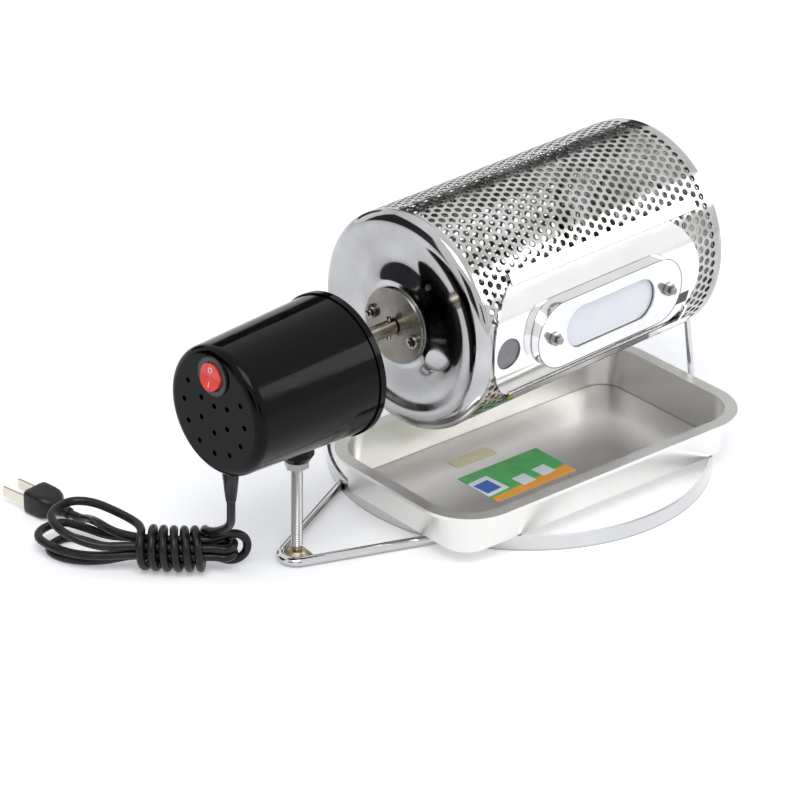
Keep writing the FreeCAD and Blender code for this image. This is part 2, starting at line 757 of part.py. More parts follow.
def build_drive(name_of, plate_x):
    """A round flange plate with two screw holes on the centre of a cap."""
    plate = cylinder(name_of + "_plate", S["flange_radius"], S["flange_wall"], plate_x, 0.0, AXIS_Z, ALONG_X)
    holes = []
    for i, turn in enumerate((0.0, 180.0)):
        y, z = screw_spot(turn)
        holes.append(cylinder("%s_hole_%d" % (name_of, i), S["screw_radius"] + S["slip_gap"],
                              S["flange_wall"] + 2.0,
                              plate_x - 1.0, y, AXIS_Z + z, ALONG_X))
    holes.append(cylinder(name_of + "_bore", S["stub_radius"], S["flange_wall"] + 2.0, plate_x - 1.0, 0.0,
                          AXIS_Z, ALONG_X))
    node(name_of, cut(name_of, plate, *holes))


def screw_spot(turn):
    angle = S["flange_screw_turn"] + turn
    return S["flange_screw_ring"] * size_of("cos", angle), S["flange_screw_ring"] * size_of("sin", angle)


def build_flange_screws(name, head_x, sign):
    """Pan heads outside, plain hex nuts inside the cap."""
    stack = S["flange_wall"] + S["sheet_wall"]
    screws, nuts = [], []
    for i, turn in enumerate((0.0, 180.0)):
        y, z = screw_spot(turn)
        z = AXIS_Z + z
        tag = "%s_%d" % (name, i)
        rise, tail = S["screw_head_height"], S["screw_tail"]
        head_start = head_x - rise if sign > 0 else head_x
        shank_start = head_x if sign > 0 else head_x - stack - tail
        head = cylinder(tag + "_head", S["screw_radius"] * 2, rise, head_start, y, z, ALONG_X)
        shank = cylinder(tag + "_shank", S["screw_radius"], stack + tail, shank_start, y, z, ALONG_X)
        screws.append(fuse(tag, head, shank))
        height = S["screw_nut_height"]
        nut_start = head_x + stack if sign > 0 else head_x - stack - height
        nut = add("Part::Prism", tag + "_nut_blank", Circumradius=S["screw_radius"] * 2, Height=height)
        nut.Polygon = 6
        place(nut, nut_start, y, z, *ALONG_X)
        bore = cylinder(tag + "_nut_bore", S["screw_radius"] + S["slip_gap"], height, nut_start, y, z,
                        ALONG_X)
        nuts.append(cut(tag + "_nut", nut, bore))
    for label, links in ((name, screws), (name.replace("screws", "nuts"), nuts)):
        group = doc.addObject("Part::Compound", label)
        group.Links = links
        node(label, group)


def build_stub():
    """The drum's drive stub sits in the sleeve and carries the cross pin."""
    end = FLANGE_X + S["flange_wall"]
    stub = cylinder("stub_solid", S["stub_radius"], 30.0 + S["flange_wall"], end - 30.0 - S["flange_wall"],
                    0.0,
                    AXIS_Z, ALONG_X)
    hole = cylinder("stub_hole", S["pin_radius"], S["stub_radius"] * 3, PIN_X, 0.0,
                    AXIS_Z - S["stub_radius"] * 1.5)
    node("drive_stub", cut("drive_stub", stub, hole))
    node("cross_pin", cylinder("cross_pin", S["pin_radius"], S["pin_length"], PIN_X, 0.0,
                               AXIS_Z - S["pin_length"] / 2))


def cap_profile(bead):
    """A spun cap: flat centre, shallow dome, rim on the shell's end, skirt inside it. x runs outwards."""
    rise, flat, wall = S["cap_rise"], S["cap_flat_radius"], S["sheet_wall"]
    seat = S["drum_radius"] - wall - S["slip_gap"]
    radius = S["drum_radius"] + bead
    return [
        (rise - wall, 0.0),
        (rise, 0.0),
        (rise, flat, 3.0),
        (wall * 2, radius),
        (0.0, radius),
        (0.0, seat),
        (-S["cap_skirt"], seat),
        (-S["cap_skirt"], seat - wall),
        (wall, seat - wall, -3.0),
        (rise - wall, flat),
    ]


def build_cap(name, x, outward, bead):
    part = body(name + "_body")
    revolve(part, name + "_dome", cap_profile(bead))
    turn = 180.0 if outward < 0 else 0.0
    place(part, x, 0.0, AXIS_Z, (0, 0, 1), turn)
    holes = []
    span = S["cap_rise"] + 4.0
    start = x - span if outward < 0 else x
    for i, angle in enumerate((0.0, 180.0)):
        y, z = screw_spot(angle)
        holes.append(cylinder("%s_hole_%d" % (name, i), S["screw_radius"] + S["slip_gap"], span, start, y,
                              AXIS_Z + z, ALONG_X))
    node(name, cut(name + "_drilled", part, *holes))


def build_shell():
    """The drum's sheet, with the feed opening under the door."""
    outer = S["drum_radius"]
    shell = tube("shell_tube", outer - S["sheet_wall"], outer, DRUM_X, S["drum_length"])
    feed = slab("feed_opening", plate_corners_at(DRUM_X + S["feed_start"] + S["feed_length"] / 2,
                                                 S["feed_length"], S["feed_half_height"] * 2, 12.0), 40.0,
                                                 80.0)
    node("drum_shell", cut("drum_shell", shell, feed))


def plate_corners_at(x, length, width, radius):
    corners = []
    for corner in plate_corners(length, width, radius):
        corners.append((as_size(x) + corner[0],) + tuple(corner[1:]))
    return corners


def build_vanes():
    """Three straight vanes lift the beans; they stand on the inside of the shell."""
    inner = S["drum_radius"] - S["sheet_wall"]
    length = S["drum_length"] - S["vane_end_gap"] * 2
    vane = box("vane_blank", length, S["sheet_wall"] * 1.2, S["vane_depth"],
               DRUM_X + S["drum_length"] / 2, 0.0, AXIS_Z + inner - S["vane_depth"] - S["slip_gap"])
    foot = box("vane_foot", length, S["vane_depth"] * 0.6, S["sheet_wall"] * 1.2,
               DRUM_X + S["drum_length"] / 2, S["vane_depth"] * 0.3, AXIS_Z + inner - 1.6)
    room = tube("vane_room", inner - S["slip_gap"], inner + 20.0, DRUM_X, S["drum_length"])
    vane = cut("vane", fuse("vane_pair", vane, foot), room)
    copies("stirring_vanes", vane, (0.0, 120.0, 240.0), (1, 0, 0), (0.0, 0.0, AXIS_Z))


def build_rails():
    """Folded strips on the shell whose lips hold the door's long edges, and the door's end stop."""
    shell = S["drum_radius"]
    floor = shell + S["slip_gap"]
    lip_inner = shell + S["run_gap"] * 2 + S["sheet_wall"]
    lip_outer = lip_inner + S["sheet_wall"]
    door = S["door_half_angle"]
    for name, sign in (("upper_rail", 1.0), ("lower_rail", -1.0)):
        foot_start = door + 0.4 if sign > 0 else -door - 0.4 - S["rail_foot_angle"]
        lip_start = door + 0.4 - S["rail_lip_angle"] if sign > 0 else -door - 0.5
        x = DRUM_X + S["rail_start"]
        foot = tube(name + "_foot", floor, lip_outer, x, S["rail_length"], foot_start, S["rail_foot_angle"])
        lip = tube(name + "_lip", lip_inner, lip_outer, x, S["rail_length"], lip_start,
                   S["rail_lip_angle"] + 0.1)
        strips = [foot, lip]
        if sign < 0:
            strips.append(tube("door_stop", floor, lip_outer, DRUM_X + S["rail_stop_x"],
                               S["rail_stop_length"],
                               foot_start, S["rail_stop_angle"]))
        node(name, fuse(name, *strips))


def build_rear_axle():
    length = S["axle_length"]
    axle = cylinder("axle_pin", S["stub_radius"], length, REAR_FLANGE_X, 0.0, AXIS_Z, ALONG_X)
    collar = cylinder("axle_collar", S["axle_collar_radius"], 2.5, REAR_FLANGE_X + length - 2.5, 0.0,
                      AXIS_Z, ALONG_X)
    node("rear_axle", fuse("rear_axle", axle, collar))


# The door slides in the rails and carries the window

DOOR_INNER = S["drum_radius"] + S["run_gap"] + S["slip_gap"]
DOOR_OUTER = DOOR_INNER + S["sheet_wall"]
WINDOW_X = DRUM_X + S["window_x"]
BEZEL_TOP = DOOR_OUTER + S["bezel_rise"]


def door_corners():
    half = DOOR_INNER * size_of("sin", S["door_half_angle"])
    start = DRUM_X + S["door_start"]
    end = start + S["door_length"]
    sag = S["door_end_sagitta"]
    return [(start + sag, -half), (end - sag, -half, -sag), (end - sag, half), (start + sag, half, -sag)]


def build_door():
    tools = []
    pane = slab("door_pane_hole", slot_corners(S["pane_length"], S["pane_height"], WINDOW_X), 50.0, 90.0)
    tools.append(pane)
    for i, side in enumerate((-1.0, 1.0)):
        x = WINDOW_X + S["stud_from_window"] * side
        tools.append(cylinder("door_stud_hole_%d" % i, S["stud_radius"] + S["slip_gap"], 30.0, x, -85.0,
                              AXIS_Z, ALONG_Y))
    finger = cylinder("door_finger_hole", S["finger_radius"], 30.0, DRUM_X + S["finger_x"], -85.0,
                      AXIS_Z - 2.0, ALONG_Y)
    tools.append(finger)
    catch = box("door_catch_slot", S["catch_length"], 30.0, S["catch_height"], DRUM_X + S["catch_x"], -70.0,
                AXIS_Z - S["catch_drop"] - S["catch_height"] / 2)
    tools.append(catch)
    sheet_tube = tube("door_tube", DOOR_INNER, DOOR_OUTER, DRUM_X, S["drum_length"] - 10.0)
    blank = common("door_blank", sheet_tube, slab("door_outline", door_corners(), 40.0, 80.0))
    node("door_plate", cut("door_plate", blank, *tools))
    gap = S["slip_gap"]
    spring = box("catch_block", S["catch_length"] - gap * 2, 30.0, S["catch_height"] - gap * 2,
                 DRUM_X + S["catch_x"],
                 -70.0, AXIS_Z - S["catch_drop"] - S["catch_height"] / 2 + gap)
    catch_tube = tube("catch_tube", DOOR_INNER, DOOR_OUTER, DRUM_X, S["drum_length"])
    node("door_catch", common("door_catch", catch_tube, spring))


def build_window():
    """A pressed bezel stands on the door, with the glass and its gasket clamped under it."""
    wall = S["sheet_wall"] * 1.2
    outer = slab("bezel_outer", slot_corners(S["bezel_length"], S["bezel_height"], WINDOW_X), 50.0, BEZEL_TOP)
    inner = slab("bezel_inner", slot_corners(S["bezel_length"] - wall * 2, S["bezel_height"] - wall * 2,
                                             WINDOW_X),
                 40.0, BEZEL_TOP - wall)
    pane = slab("bezel_pane", slot_corners(S["pane_length"], S["pane_height"], WINDOW_X), 40.0,
                BEZEL_TOP + 5.0)
    seat = cylinder("bezel_seat", DOOR_OUTER + S["slip_gap"], S["drum_length"], DRUM_X, 0.0, AXIS_Z, ALONG_X)
    tools = [inner, pane, seat]
    for i, side in enumerate((-1.0, 1.0)):
        x = WINDOW_X + S["stud_from_window"] * side
        tools.append(cylinder("bezel_stud_hole_%d" % i, S["stud_radius"] + S["slip_gap"], 30.0, x, -95.0,
                              AXIS_Z, ALONG_Y))
    node("window_bezel", cut("window_bezel", outer, *tools))
    glass_length = S["pane_length"] + S["glass_lap"] * 2
    glass_height = S["pane_height"] + S["glass_lap"] * 2
    under = BEZEL_TOP - wall
    glass_face = under - S["gasket_wall"]
    rim = slab("gasket_outer", slot_corners(glass_length, glass_height, WINDOW_X), glass_face, under)
    hole = slab("gasket_inner", slot_corners(S["pane_length"], S["pane_height"], WINDOW_X),
                glass_face - 1.0, under + 1.0)
    node("window_gasket", cut("window_gasket", rim, hole))
    pane_solid = slab("glass_blank", slot_corners(glass_length, glass_height, WINDOW_X),
                      glass_face - S["glass_wall"], glass_face)
    node("window_glass", cut("window_glass", pane_solid, cylinder(
        "glass_seat", DOOR_OUTER + S["slip_gap"], S["drum_length"], DRUM_X, 0.0, AXIS_Z, ALONG_X)))
    studs, nuts = [], []
    for i, side in enumerate((-1.0, 1.0)):
        x = WINDOW_X + S["stud_from_window"] * side
        tip = BEZEL_TOP + S["stud_height"]
        studs.append(cylinder("stud_%d" % i, S["stud_radius"], tip - DOOR_INNER, x, -tip, AXIS_Z, ALONG_Y))
        blank = add("Part::Prism", "stud_nut_blank_%d" % i, Circumradius=S["stud_radius"] * 2, Height=3.2)
        blank.Polygon = 6
        place(blank, x, -(BEZEL_TOP + 3.2), AXIS_Z, *ALONG_Y)
        bore = cylinder("stud_nut_bore_%d" % i, S["stud_radius"] + S["slip_gap"], 3.2, x,
                        -(BEZEL_TOP + 3.2), AXIS_Z, ALONG_Y)
        nuts.append(cut("stud_nut_%d" % i, blank, bore))
    for label, links in (("window_studs", studs), ("window_nuts", nuts)):
        group = doc.addObject("Part::Compound", label)
        group.Links = links
        node(label, group)


# The chaff tray lies loose on the ring

def build_tray():
    """A pressed pan: lofted walls with wide round corners and a flat folded rim."""
    depth, rim, wall = S["tray_depth"], S["tray_rim"], S["sheet_wall"]
    top_length, top_width = S["tray_length"] - rim * 2, S["tray_width"] - rim * 2
    slope = S["tray_slope"]
    part = body("tray_pan")
    top_corner = S["tray_rim_corner"] - rim

    def loft(kind, name, inset, low, high):
        levels = []
        for tag, shrink, corner, lift in (("foot", slope, S["tray_floor_corner"], low), ("head", 0.0,
                                                                                         top_corner, high)):
            corners = plate_corners(top_length - (as_size(shrink) + inset) * 2,
                                    top_width - (as_size(shrink) + inset) * 2,
                                    as_size(corner) - inset)
            levels.append(sketch_on(part, "%s_%s" % (name, tag), "XY_Plane", corners, lift))
        item = part.newObject(kind, name)
        item.Profile = levels[0]
        item.Sections = levels[1:]
        item.Ruled = True
        return item

    loft("PartDesign::AdditiveLoft", "pan_outside", 0.0, 0.0, depth)
    rim_sketch = sketch_on(part, "rim_outline", "XY_Plane",
                           plate_corners(S["tray_length"], S["tray_width"], S["tray_rim_corner"]),
                           depth - S["tray_rim_wall"])
    pad = part.newObject("PartDesign::Pad", "rim_pad")
    pad.Profile = rim_sketch
    bind(pad, "Length", S["tray_rim_wall"])
    loft("PartDesign::SubtractiveLoft", "pan_inside", wall, wall, depth)
    turned = FreeCAD.Rotation(FreeCAD.Vector(0, 0, 1), num(S["tray_turn_angle"]))
    part.Placement = FreeCAD.Placement(FreeCAD.Vector(num(S["tray_x"]), num(S["tray_y"]),
                                                      num(S["ring_height"])), turned)
    bind(part, "Placement.Base.x", S["tray_x"])
    bind(part, "Placement.Base.y", S["tray_y"])
    bind(part, "Placement.Base.z", S["ring_height"])
    bind(part, "Placement.Rotation.Angle", S["tray_turn_angle"])
    node("chaff_tray", part)
    for name, kind in (("tray_sticker", "sticker"), ("tray_label", "label")):
        length, width = S[kind + "_length"], S[kind + "_width"]
        corner = FreeCAD.Vector(num(S[kind + "_x"] - length / 2), num(S[kind + "_y"] - width / 2), 0)
        spot = turned.multVec(corner)
        label = add("Part::Box", name, Length=length, Width=width, Height=S["label_wall"])
        base = FreeCAD.Vector(num(S["tray_x"]), num(S["tray_y"]), num(S["ring_height"] + wall)) + spot
        label.Placement = FreeCAD.Placement(base, turned)
        bind(label, "Placement.Base.z", S["ring_height"] + wall)
        node(name, label)


# The cord: a free lead from the gland, a wrapped hank on the floor, and the plug

HANK_TIP = FreeCAD.Vector(num(GLAND_X + S["hank_tip_ahead"]), num(S["hank_tip_aside"]), 0.0)
HANK_HEADING = math.radians(150.0)
HANK_BEND = 131.0
CORD_RADIUS = num(S["cord_diameter"]) / 2
STRAND_STEP = num(S["cord_diameter"]) + 0.55
FLOOR_GAP = 0.05


def hank_frame(along):
    """Heading and left-hand direction of the hank's curved axis."""
    turn = HANK_HEADING - along / HANK_BEND
    heading = FreeCAD.Vector(math.cos(turn), math.sin(turn), 0)
    return heading, FreeCAD.Vector(-heading.y, heading.x, 0)


def hank_point(along, side, height):
    first = hank_frame(0.0)[1]
    left = hank_frame(along)[1]
    return HANK_TIP - first * HANK_BEND + left * (HANK_BEND + side) + FreeCAD.Vector(0, 0, height)


def hank_way(along, forward, left, up):
    heading, aside = hank_frame(along)
    return (heading * forward + aside * left + FreeCAD.Vector(0, 0, up)).normalize()


def arc_edge(start, control, end):
    """An arc that leaves start towards the control point and arrives at end from it."""
    cosine = math.cos((control - start).getAngle(end - start))
    if cosine > 1.0 - 1e-9:
        return Part.makeLine(start, end)
    middle = (start + control * (2 * cosine) + end) * (1 / (2 + 2 * cosine))
    return Part.Arc(start, middle, end).toShape()


def biarc(start, leave, end, arrive):
    """Two tangent arcs between two points with given directions."""
    reach = end - start
    both = leave + arrive
    bend = 2 - 2 * leave.dot(arrive)
    if bend < 1e-9:
        tangent = reach.dot(reach) / (4 * reach.dot(arrive))
    else:
        along = reach.dot(both)
        tangent = (math.sqrt(along * along + bend * reach.dot(reach)) - along) / bend
    first, second = start + leave * tangent, end - arrive * tangent
    joint = (first + second) * 0.5
    return [arc_edge(start, first, joint), arc_edge(joint, second, end)]


def hank_stations():
    """Places and directions along the hank, as along, side, height, forward, left, up."""
    step = STRAND_STEP
    side, half, coil = step * math.cos(math.radians(30.0)), step / 2, step * 2
    centre = coil + CORD_RADIUS + FLOOR_GAP
    high, low, top, foot = centre + half, centre - half, centre + step, centre - step
    stations = []
    turns, pitch, first_wrap = 6, 6.35, 18.5
    climb = pitch / (2 * math.pi * coil)
    for quarter in range(turns * 4 + 1):
        angle = math.radians(90.0 * quarter)
        across, rise = -math.sin(angle), math.cos(angle)
        stations.append((first_wrap + pitch * quarter / 4, coil * across, centre + coil * rise,
                         climb, -rise, across))
    stations += [
        (70.0, -12.5, centre + coil, 1, -0.35, 0.0),
        (92.0, -17.0, 27.0, 1, 0.0, 0.05),
        (113.0, -1.0, 27.0, 0.0, 1, -0.15),
        (88.0, 16.5, 19.5, -1, 0.0, -0.1),
    ]
    waist_end, waist_start = 61.0, 16.0
    turn_start, turn_width, turn_tip = 10.5, 6.2, 4.3

    def flat_turn(height):
        return [(waist_end, side, height, -1, 0, 0), (waist_start, side, height, -1, 0, 0),
                (turn_start, turn_width, height, -1, 0, 0), (turn_tip, 0.0, height, 0, -1, 0),
                (turn_start, -turn_width, height, 1, 0, 0), (waist_start, -side, height, 1, 0, 0),
                (waist_end, -side, height, 1, 0, 0)]

    floor = CORD_RADIUS + FLOOR_GAP
    stations += flat_turn(high)
    second = floor + step * 1.22
    stations += [(90.0, -14.0, second, 1, 0, 0), (124.0, -3.0, second, 0, 1, 0), (92.0, 14.5, second, -1, 0,
                                                                                  0)]
    stations += flat_turn(low)
    stations += [(90.0, -12.0, floor, 1, 0, 0), (116.0, -1.0, floor, 0, 1, 0), (90.0, 11.0, floor, -1, 0, 0)]
    tall = step * 1.53
    stations += [(waist_end, 0, foot, -1, 0, 0), (waist_start, 0, foot, -1, 0, 0),
                 (turn_tip, 0, centre - tall, -1, 0, 0), (turn_tip - tall, 0, centre, 0, 0, 1),
                 (turn_tip, 0, centre + tall, 1, 0, 0), (waist_start, 0, top, 1, 0, 0),
                 (waist_end, 0, top, 1, 0, 0), (88.0, -9.5, 18.6, 1, -0.6, -0.2),
                 (108.0, -21.5, 12.5, 1, -0.35, -0.3), (124.0, -25.0, 8.05, 1, 0, 0)]
    return stations


def least_gap(wire, diameter):
    """Smallest clear distance between two stretches of the same cord."""
    points = wire.discretize(Distance=2.0)
    skip = int(diameter * 4 / 2.0)
    least = 1e9
    for i, here in enumerate(points):
        for there in points[i + skip:]:
            least = min(least, here.distanceToPoint(there))
    return least - diameter


def build_cord(gland_foot):
    """The lead's route is chosen by hand; the hank's loops and wraps follow a rule."""
    start = hank_point(12.0, 10.0, 31.0)
    way = hank_way(12.0, 0.48, -0.64, -0.6)
    lead_points = [(num(GLAND_X), 0, gland_foot), (num(GLAND_X), 0, gland_foot - 10.0),
                   tuple(start - way * 12.0), tuple(start)]
    bends = []
    for before, corner, after in zip(lead_points, lead_points[1:], lead_points[2:]):
        come = FreeCAD.Vector(*corner) - FreeCAD.Vector(*before)
        leave = FreeCAD.Vector(*after) - FreeCAD.Vector(*corner)
        bends.append(0.45 * min(come.Length, leave.Length) / math.tan(come.getAngle(leave) / 2))
    print("lead bend radii:", [round(b, 1) for b in bends])
    node("cord_lead", swept("lead", route(lead_points, bends), CORD_RADIUS))

    stations = [(hank_point(*s[:3]), hank_way(s[0], *s[3:])) for s in hank_stations()]
    straight = num(S["cord_diameter"])
    here, heading = start + way * straight, way
    edges = [Part.makeLine(start, here)]
    for place_, direction in stations:
        edges += biarc(here, heading, place_, direction)
        here, heading = place_, direction
    end = here + heading * straight
    edges.append(Part.makeLine(here, end))
    wire = Part.Wire(edges)
    radii = [e.Curve.Radius for e in edges if hasattr(e.Curve, "Radius")]
    print("hank: least radius %.1f, least self-gap %.2f, %d edges" % (
        min(radii), least_gap(wire, num(S["cord_diameter"])), len(edges)))
    node("cord_hank", swept("hank", wire, CORD_RADIUS))
    return end, heading


def build_plug(start, heading):
    """A moulded plug with a tapered neck, lying on the floor, and its two flat pins."""
    turn = math.degrees(math.atan2(heading.y, heading.x))
    length, width, height = num(S["plug_length"]), num(S["plug_width"]), num(S["plug_height"])
    neck = Part.makeCone(CORD_RADIUS + 1.0, height / 2 - 1.2, length * 0.4, FreeCAD.Vector(0, 0, 0),
                         FreeCAD.Vector(1, 0, 0))
    block = Part.makeBox(length * 0.65, width, height, FreeCAD.Vector(length * 0.35, -width / 2, -height / 2))
    block = block.makeFillet(3.0, [e for e in block.Edges if abs(e.tangentAt(e.FirstParameter).x) > 0.9])
    plug = doc.addObject("Part::Feature", "plug")
    plug.Shape = neck.fuse(block).removeSplitter()
    spot = FreeCAD.Placement(start, FreeCAD.Rotation(FreeCAD.Vector(0, 0, 1), turn))
    plug.Placement = spot
    node("plug_body", plug)
    pins = []
    for side in (-1, 1):
        corner = FreeCAD.Vector(length, side * num(S["plug_pin_spacing"]) / 2 - num(S["plug_pin_wall"]) / 2,
                                -num(S["plug_pin_width"]) / 2)
        pins.append(Part.makeBox(num(S["plug_pin_length"]), num(S["plug_pin_wall"]),
                                 num(S["plug_pin_width"]), corner))
    pair = doc.addObject("Part::Feature", "pins")
    pair.Shape = Part.makeCompound(pins)
    pair.Placement = spot
    node("plug_pins", pair)


build_ring()
ROD = build_rod()
build_post(ROD)
build_rear_support()
build_housing()
COVER_X = build_rear_cover()
build_gearmotor(COVER_X)
build_switch()
GLAND_FOOT = build_gland()
build_sleeve(COVER_X)
build_drive("drive_flange", FLANGE_X)
build_flange_screws("flange_screws", FLANGE_X, 1)
build_stub()
build_cap("front_cap", DRUM_X, -1, S["cap_bead"])
build_shell()
build_cap("rear_cap", DRUM_END, 1, as_size(0.0))
build_drive("rear_flange", REAR_FLANGE_X)
build_flange_screws("rear_flange_screws", REAR_FLANGE_X + S["flange_wall"], -1)
build_vanes()
build_rails()
build_rear_axle()
build_door()
build_window()
build_tray()
CORD_END, CORD_WAY = build_cord(GLAND_FOOT)
build_plug(CORD_END, CORD_WAY)

doc.recompute()
for item in doc.Objects:
    if "Invalid" in item.State or "Error" in item.State:
        raise RuntimeError("%s failed to build: %s" % (item.Name, item.State))
os.makedirs("parts", exist_ok=True)
for item in NODES:
    shape = item.Shape
    if shape.isNull() or not shape.isValid():
        raise RuntimeError("%s has no valid shape" % item.Label)
    shape.exportStep("parts/%s.step" % item.Label)
print("%d sub-parts written" % len(NODES))
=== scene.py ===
"""Home coffee bean roaster, dressed for its picture: materials, fine pieces, cord, light and camera.

Lengths in named values are in millimetres and are turned into metres by MM.
"""
import math

import bmesh
import bpy
from mathutils import Matrix, Vector, geometry


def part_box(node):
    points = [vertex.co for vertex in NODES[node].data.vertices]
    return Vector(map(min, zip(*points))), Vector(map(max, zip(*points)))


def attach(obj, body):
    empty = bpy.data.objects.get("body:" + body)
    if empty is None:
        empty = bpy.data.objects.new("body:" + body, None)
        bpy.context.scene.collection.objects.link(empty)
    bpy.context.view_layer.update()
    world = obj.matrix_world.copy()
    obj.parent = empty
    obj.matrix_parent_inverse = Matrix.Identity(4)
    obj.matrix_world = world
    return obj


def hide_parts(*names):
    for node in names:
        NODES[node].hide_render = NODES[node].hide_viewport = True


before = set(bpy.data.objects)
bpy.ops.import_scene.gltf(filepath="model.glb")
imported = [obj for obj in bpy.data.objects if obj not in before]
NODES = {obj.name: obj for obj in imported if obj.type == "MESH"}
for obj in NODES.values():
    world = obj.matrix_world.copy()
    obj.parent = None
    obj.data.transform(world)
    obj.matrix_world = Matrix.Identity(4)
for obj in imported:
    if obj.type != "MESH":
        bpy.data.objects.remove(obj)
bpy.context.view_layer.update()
MM = 0.001


# Camera at the photograph's angle

CAMERA_PLACE = Vector((-1.3444, -1.3167, 1.0312))
CAMERA_FORWARD = Vector((0.6085, 0.6409, -0.468)).normalized()
CAMERA_RIGHT = Vector((0.7268, -0.6869, 0.0043)).normalized()
CAMERA_LENS = 157.5
CAMERA_SHIFT = (0.0835, 0.048)


def build_camera():
    data = bpy.data.cameras.new("photo_camera")
    data.lens = CAMERA_LENS
    data.sensor_width = 36.0
    data.shift_x, data.shift_y = CAMERA_SHIFT
    data.clip_end = 50.0
    camera = bpy.data.objects.new("photo_camera", data)
    up = CAMERA_RIGHT.cross(CAMERA_FORWARD).normalized()
    turned = Matrix((CAMERA_RIGHT, up, -CAMERA_FORWARD)).transposed().to_4x4()
    camera.matrix_world = Matrix.Translation(CAMERA_PLACE) @ turned
    bpy.context.scene.collection.objects.link(camera)
    bpy.context.scene.camera = camera


# Materials

# How dark the painted shade in creases gets, from 0 to 1.
PAINTED_CREASE_SHADE = 0.88


class Look:
    """A procedural material round one Principled shader."""

    def __init__(self, name, colour, roughness=0.5, metallic=0.0, **sockets):
        self.material = bpy.data.materials.new(name)
        self.material.use_nodes = True
        self.tree = self.material.node_tree
        self.shader = self.tree.nodes["Principled BSDF"]
        self.set("Base Color", (*colour, 1.0))
        self.set("Roughness", roughness)
        self.set("Metallic", metallic)
        for socket, value in sockets.items():
            self.set(socket.replace("_", " "), value)
        self.height = None

    def set(self, socket, value):
        self.shader.inputs[socket].default_value = value

    def node(self, kind, **settings):
        item = self.tree.nodes.new("ShaderNode" + kind)
        for key, value in settings.items():
            setattr(item, key, value)
        return item

    def link(self, output, target):
        self.tree.links.new(output, target)

    def spot(self, stretch=(1.0, 1.0, 1.0), turn=0.0):
        """Object coordinates, stretched, in metres."""
        place = self.node("TexCoord")
        mapping = self.node("Mapping")
        mapping.inputs["Scale"].default_value = stretch
        mapping.inputs["Rotation"].default_value = (0.0, 0.0, turn)
        self.link(place.outputs["Object"], mapping.inputs["Vector"])
        return mapping.outputs["Vector"]

    def noise(self, scale, detail=3.0, roughness=0.5, stretch=(1.0, 1.0, 1.0), turn=0.0, distortion=0.0):
        item = self.node("TexNoise")
        item.inputs["Scale"].default_value = scale
        item.inputs["Detail"].default_value = detail
        item.inputs["Roughness"].default_value = roughness
        item.inputs["Distortion"].default_value = distortion
        self.link(self.spot(stretch, turn), item.inputs["Vector"])
        return item.outputs["Fac"]

    def spread(self, value, low, high, start=0.3, end=0.7):
        item = self.node("MapRange")
        item.inputs["From Min"].default_value = start
        item.inputs["From Max"].default_value = end
        item.inputs["To Min"].default_value = low
        item.inputs["To Max"].default_value = high
        self.link(value, item.inputs["Value"])
        return item.outputs["Result"]

    def tint(self, value, dark, pale, start=0.3, end=0.7):
        ramp = self.node("ValToRGB")
        ramp.color_ramp.elements[0].position = start
        ramp.color_ramp.elements[0].color = (*dark, 1.0)
        ramp.color_ramp.elements[1].position = end
        ramp.color_ramp.elements[1].color = (*pale, 1.0)
        self.link(value, ramp.inputs["Fac"])
        return ramp.outputs["Color"]

    def math_of(self, operation, first, second):
        """A math node whose inputs are sockets or numbers."""
        item = self.node("Math", operation=operation)
        for target, value in zip(item.inputs, (first, second)):
            if isinstance(value, (int, float)):
                target.default_value = value
            else:
                self.link(value, target)
        return item.outputs[0]

    def join(self, first, second):
        return self.math_of("MULTIPLY", self.math_of("ADD", first, second), 0.5)

    def block(self, along, across, sides):
        """1 inside a rectangle given as start and end along, start and end across."""
        inside = self.math_of("GREATER_THAN", along, sides[0])
        for operation, value, limit in (("LESS_THAN", along, sides[1]), ("GREATER_THAN", across, sides[2]),
                                        ("LESS_THAN", across, sides[3])):
            inside = self.math_of("MULTIPLY", inside, self.math_of(operation, value, limit))
        return inside

    def mix(self, factor, first, second):
        item = self.node("Mix", data_type="RGBA")
        self.link(factor, item.inputs["Factor"])
        self.link(first, item.inputs[6])
        self.link(second, item.inputs[7])
        return item.outputs[2]

    def colour(self, output, crease_shade_reach=0.0):
        """Base colour; given a reach in metres, it darkens within that reach of a crease as painted shade."""
        if crease_shade_reach:
            near = self.node("AmbientOcclusion", samples=6)
            near.inputs["Distance"].default_value = crease_shade_reach
            black = self.node("RGB")
            black.outputs[0].default_value = (0.02, 0.02, 0.02, 1.0)
            output = self.mix(self.spread(near.outputs["AO"], PAINTED_CREASE_SHADE, 0.0, 0.35, 0.8), output,
                              black.outputs[0])
        self.link(output, self.shader.inputs["Base Color"])

    def rough(self, output):
        self.link(output, self.shader.inputs["Roughness"])

    def bump(self, value, depth, strength=1.0):
        """Bumps add up in the order they are given."""
        item = self.node("Bump")
        item.inputs["Strength"].default_value = strength
        item.inputs["Distance"].default_value = depth
        self.link(value, item.inputs["Height"])
        if self.height is not None:
            self.link(self.height, item.inputs["Normal"])
        self.height = item.outputs["Normal"]
        self.link(self.height, self.shader.inputs["Normal"])


def shade(amount, colour):
    return tuple(c * amount for c in colour)


def metal(name, colour, roughness, spread=0.05, grain=None, depth=0.00001, stain=0.93):
    """Steel with slow stains, painted shade in its creases, uneven polish and, if grain is given, brushing
    stretched by it.
    """
    look = Look(name, colour, roughness, 1.0)
    stains = look.noise(35.0, 4.0, 0.6)
    # Stain tones, with painted shade within 2.2 mm of creases.
    look.colour(look.tint(stains, shade(stain, colour), colour), 0.0022)
    polish = look.noise(90.0, 5.0, 0.65, grain or (1.0, 1.0, 1.0))
    look.rough(look.spread(polish, max(0.02, roughness - spread), roughness + spread))
    if grain:
        look.bump(look.noise(100.0, 2.0, 0.5, grain), depth, 0.5)
    return look


def chrome_wire():
    look = metal("chrome_wire", (0.62, 0.625, 0.63), 0.07, 0.04)
    look.bump(look.noise(60.0, 2.0), 0.00008, 0.35)
    return look.material


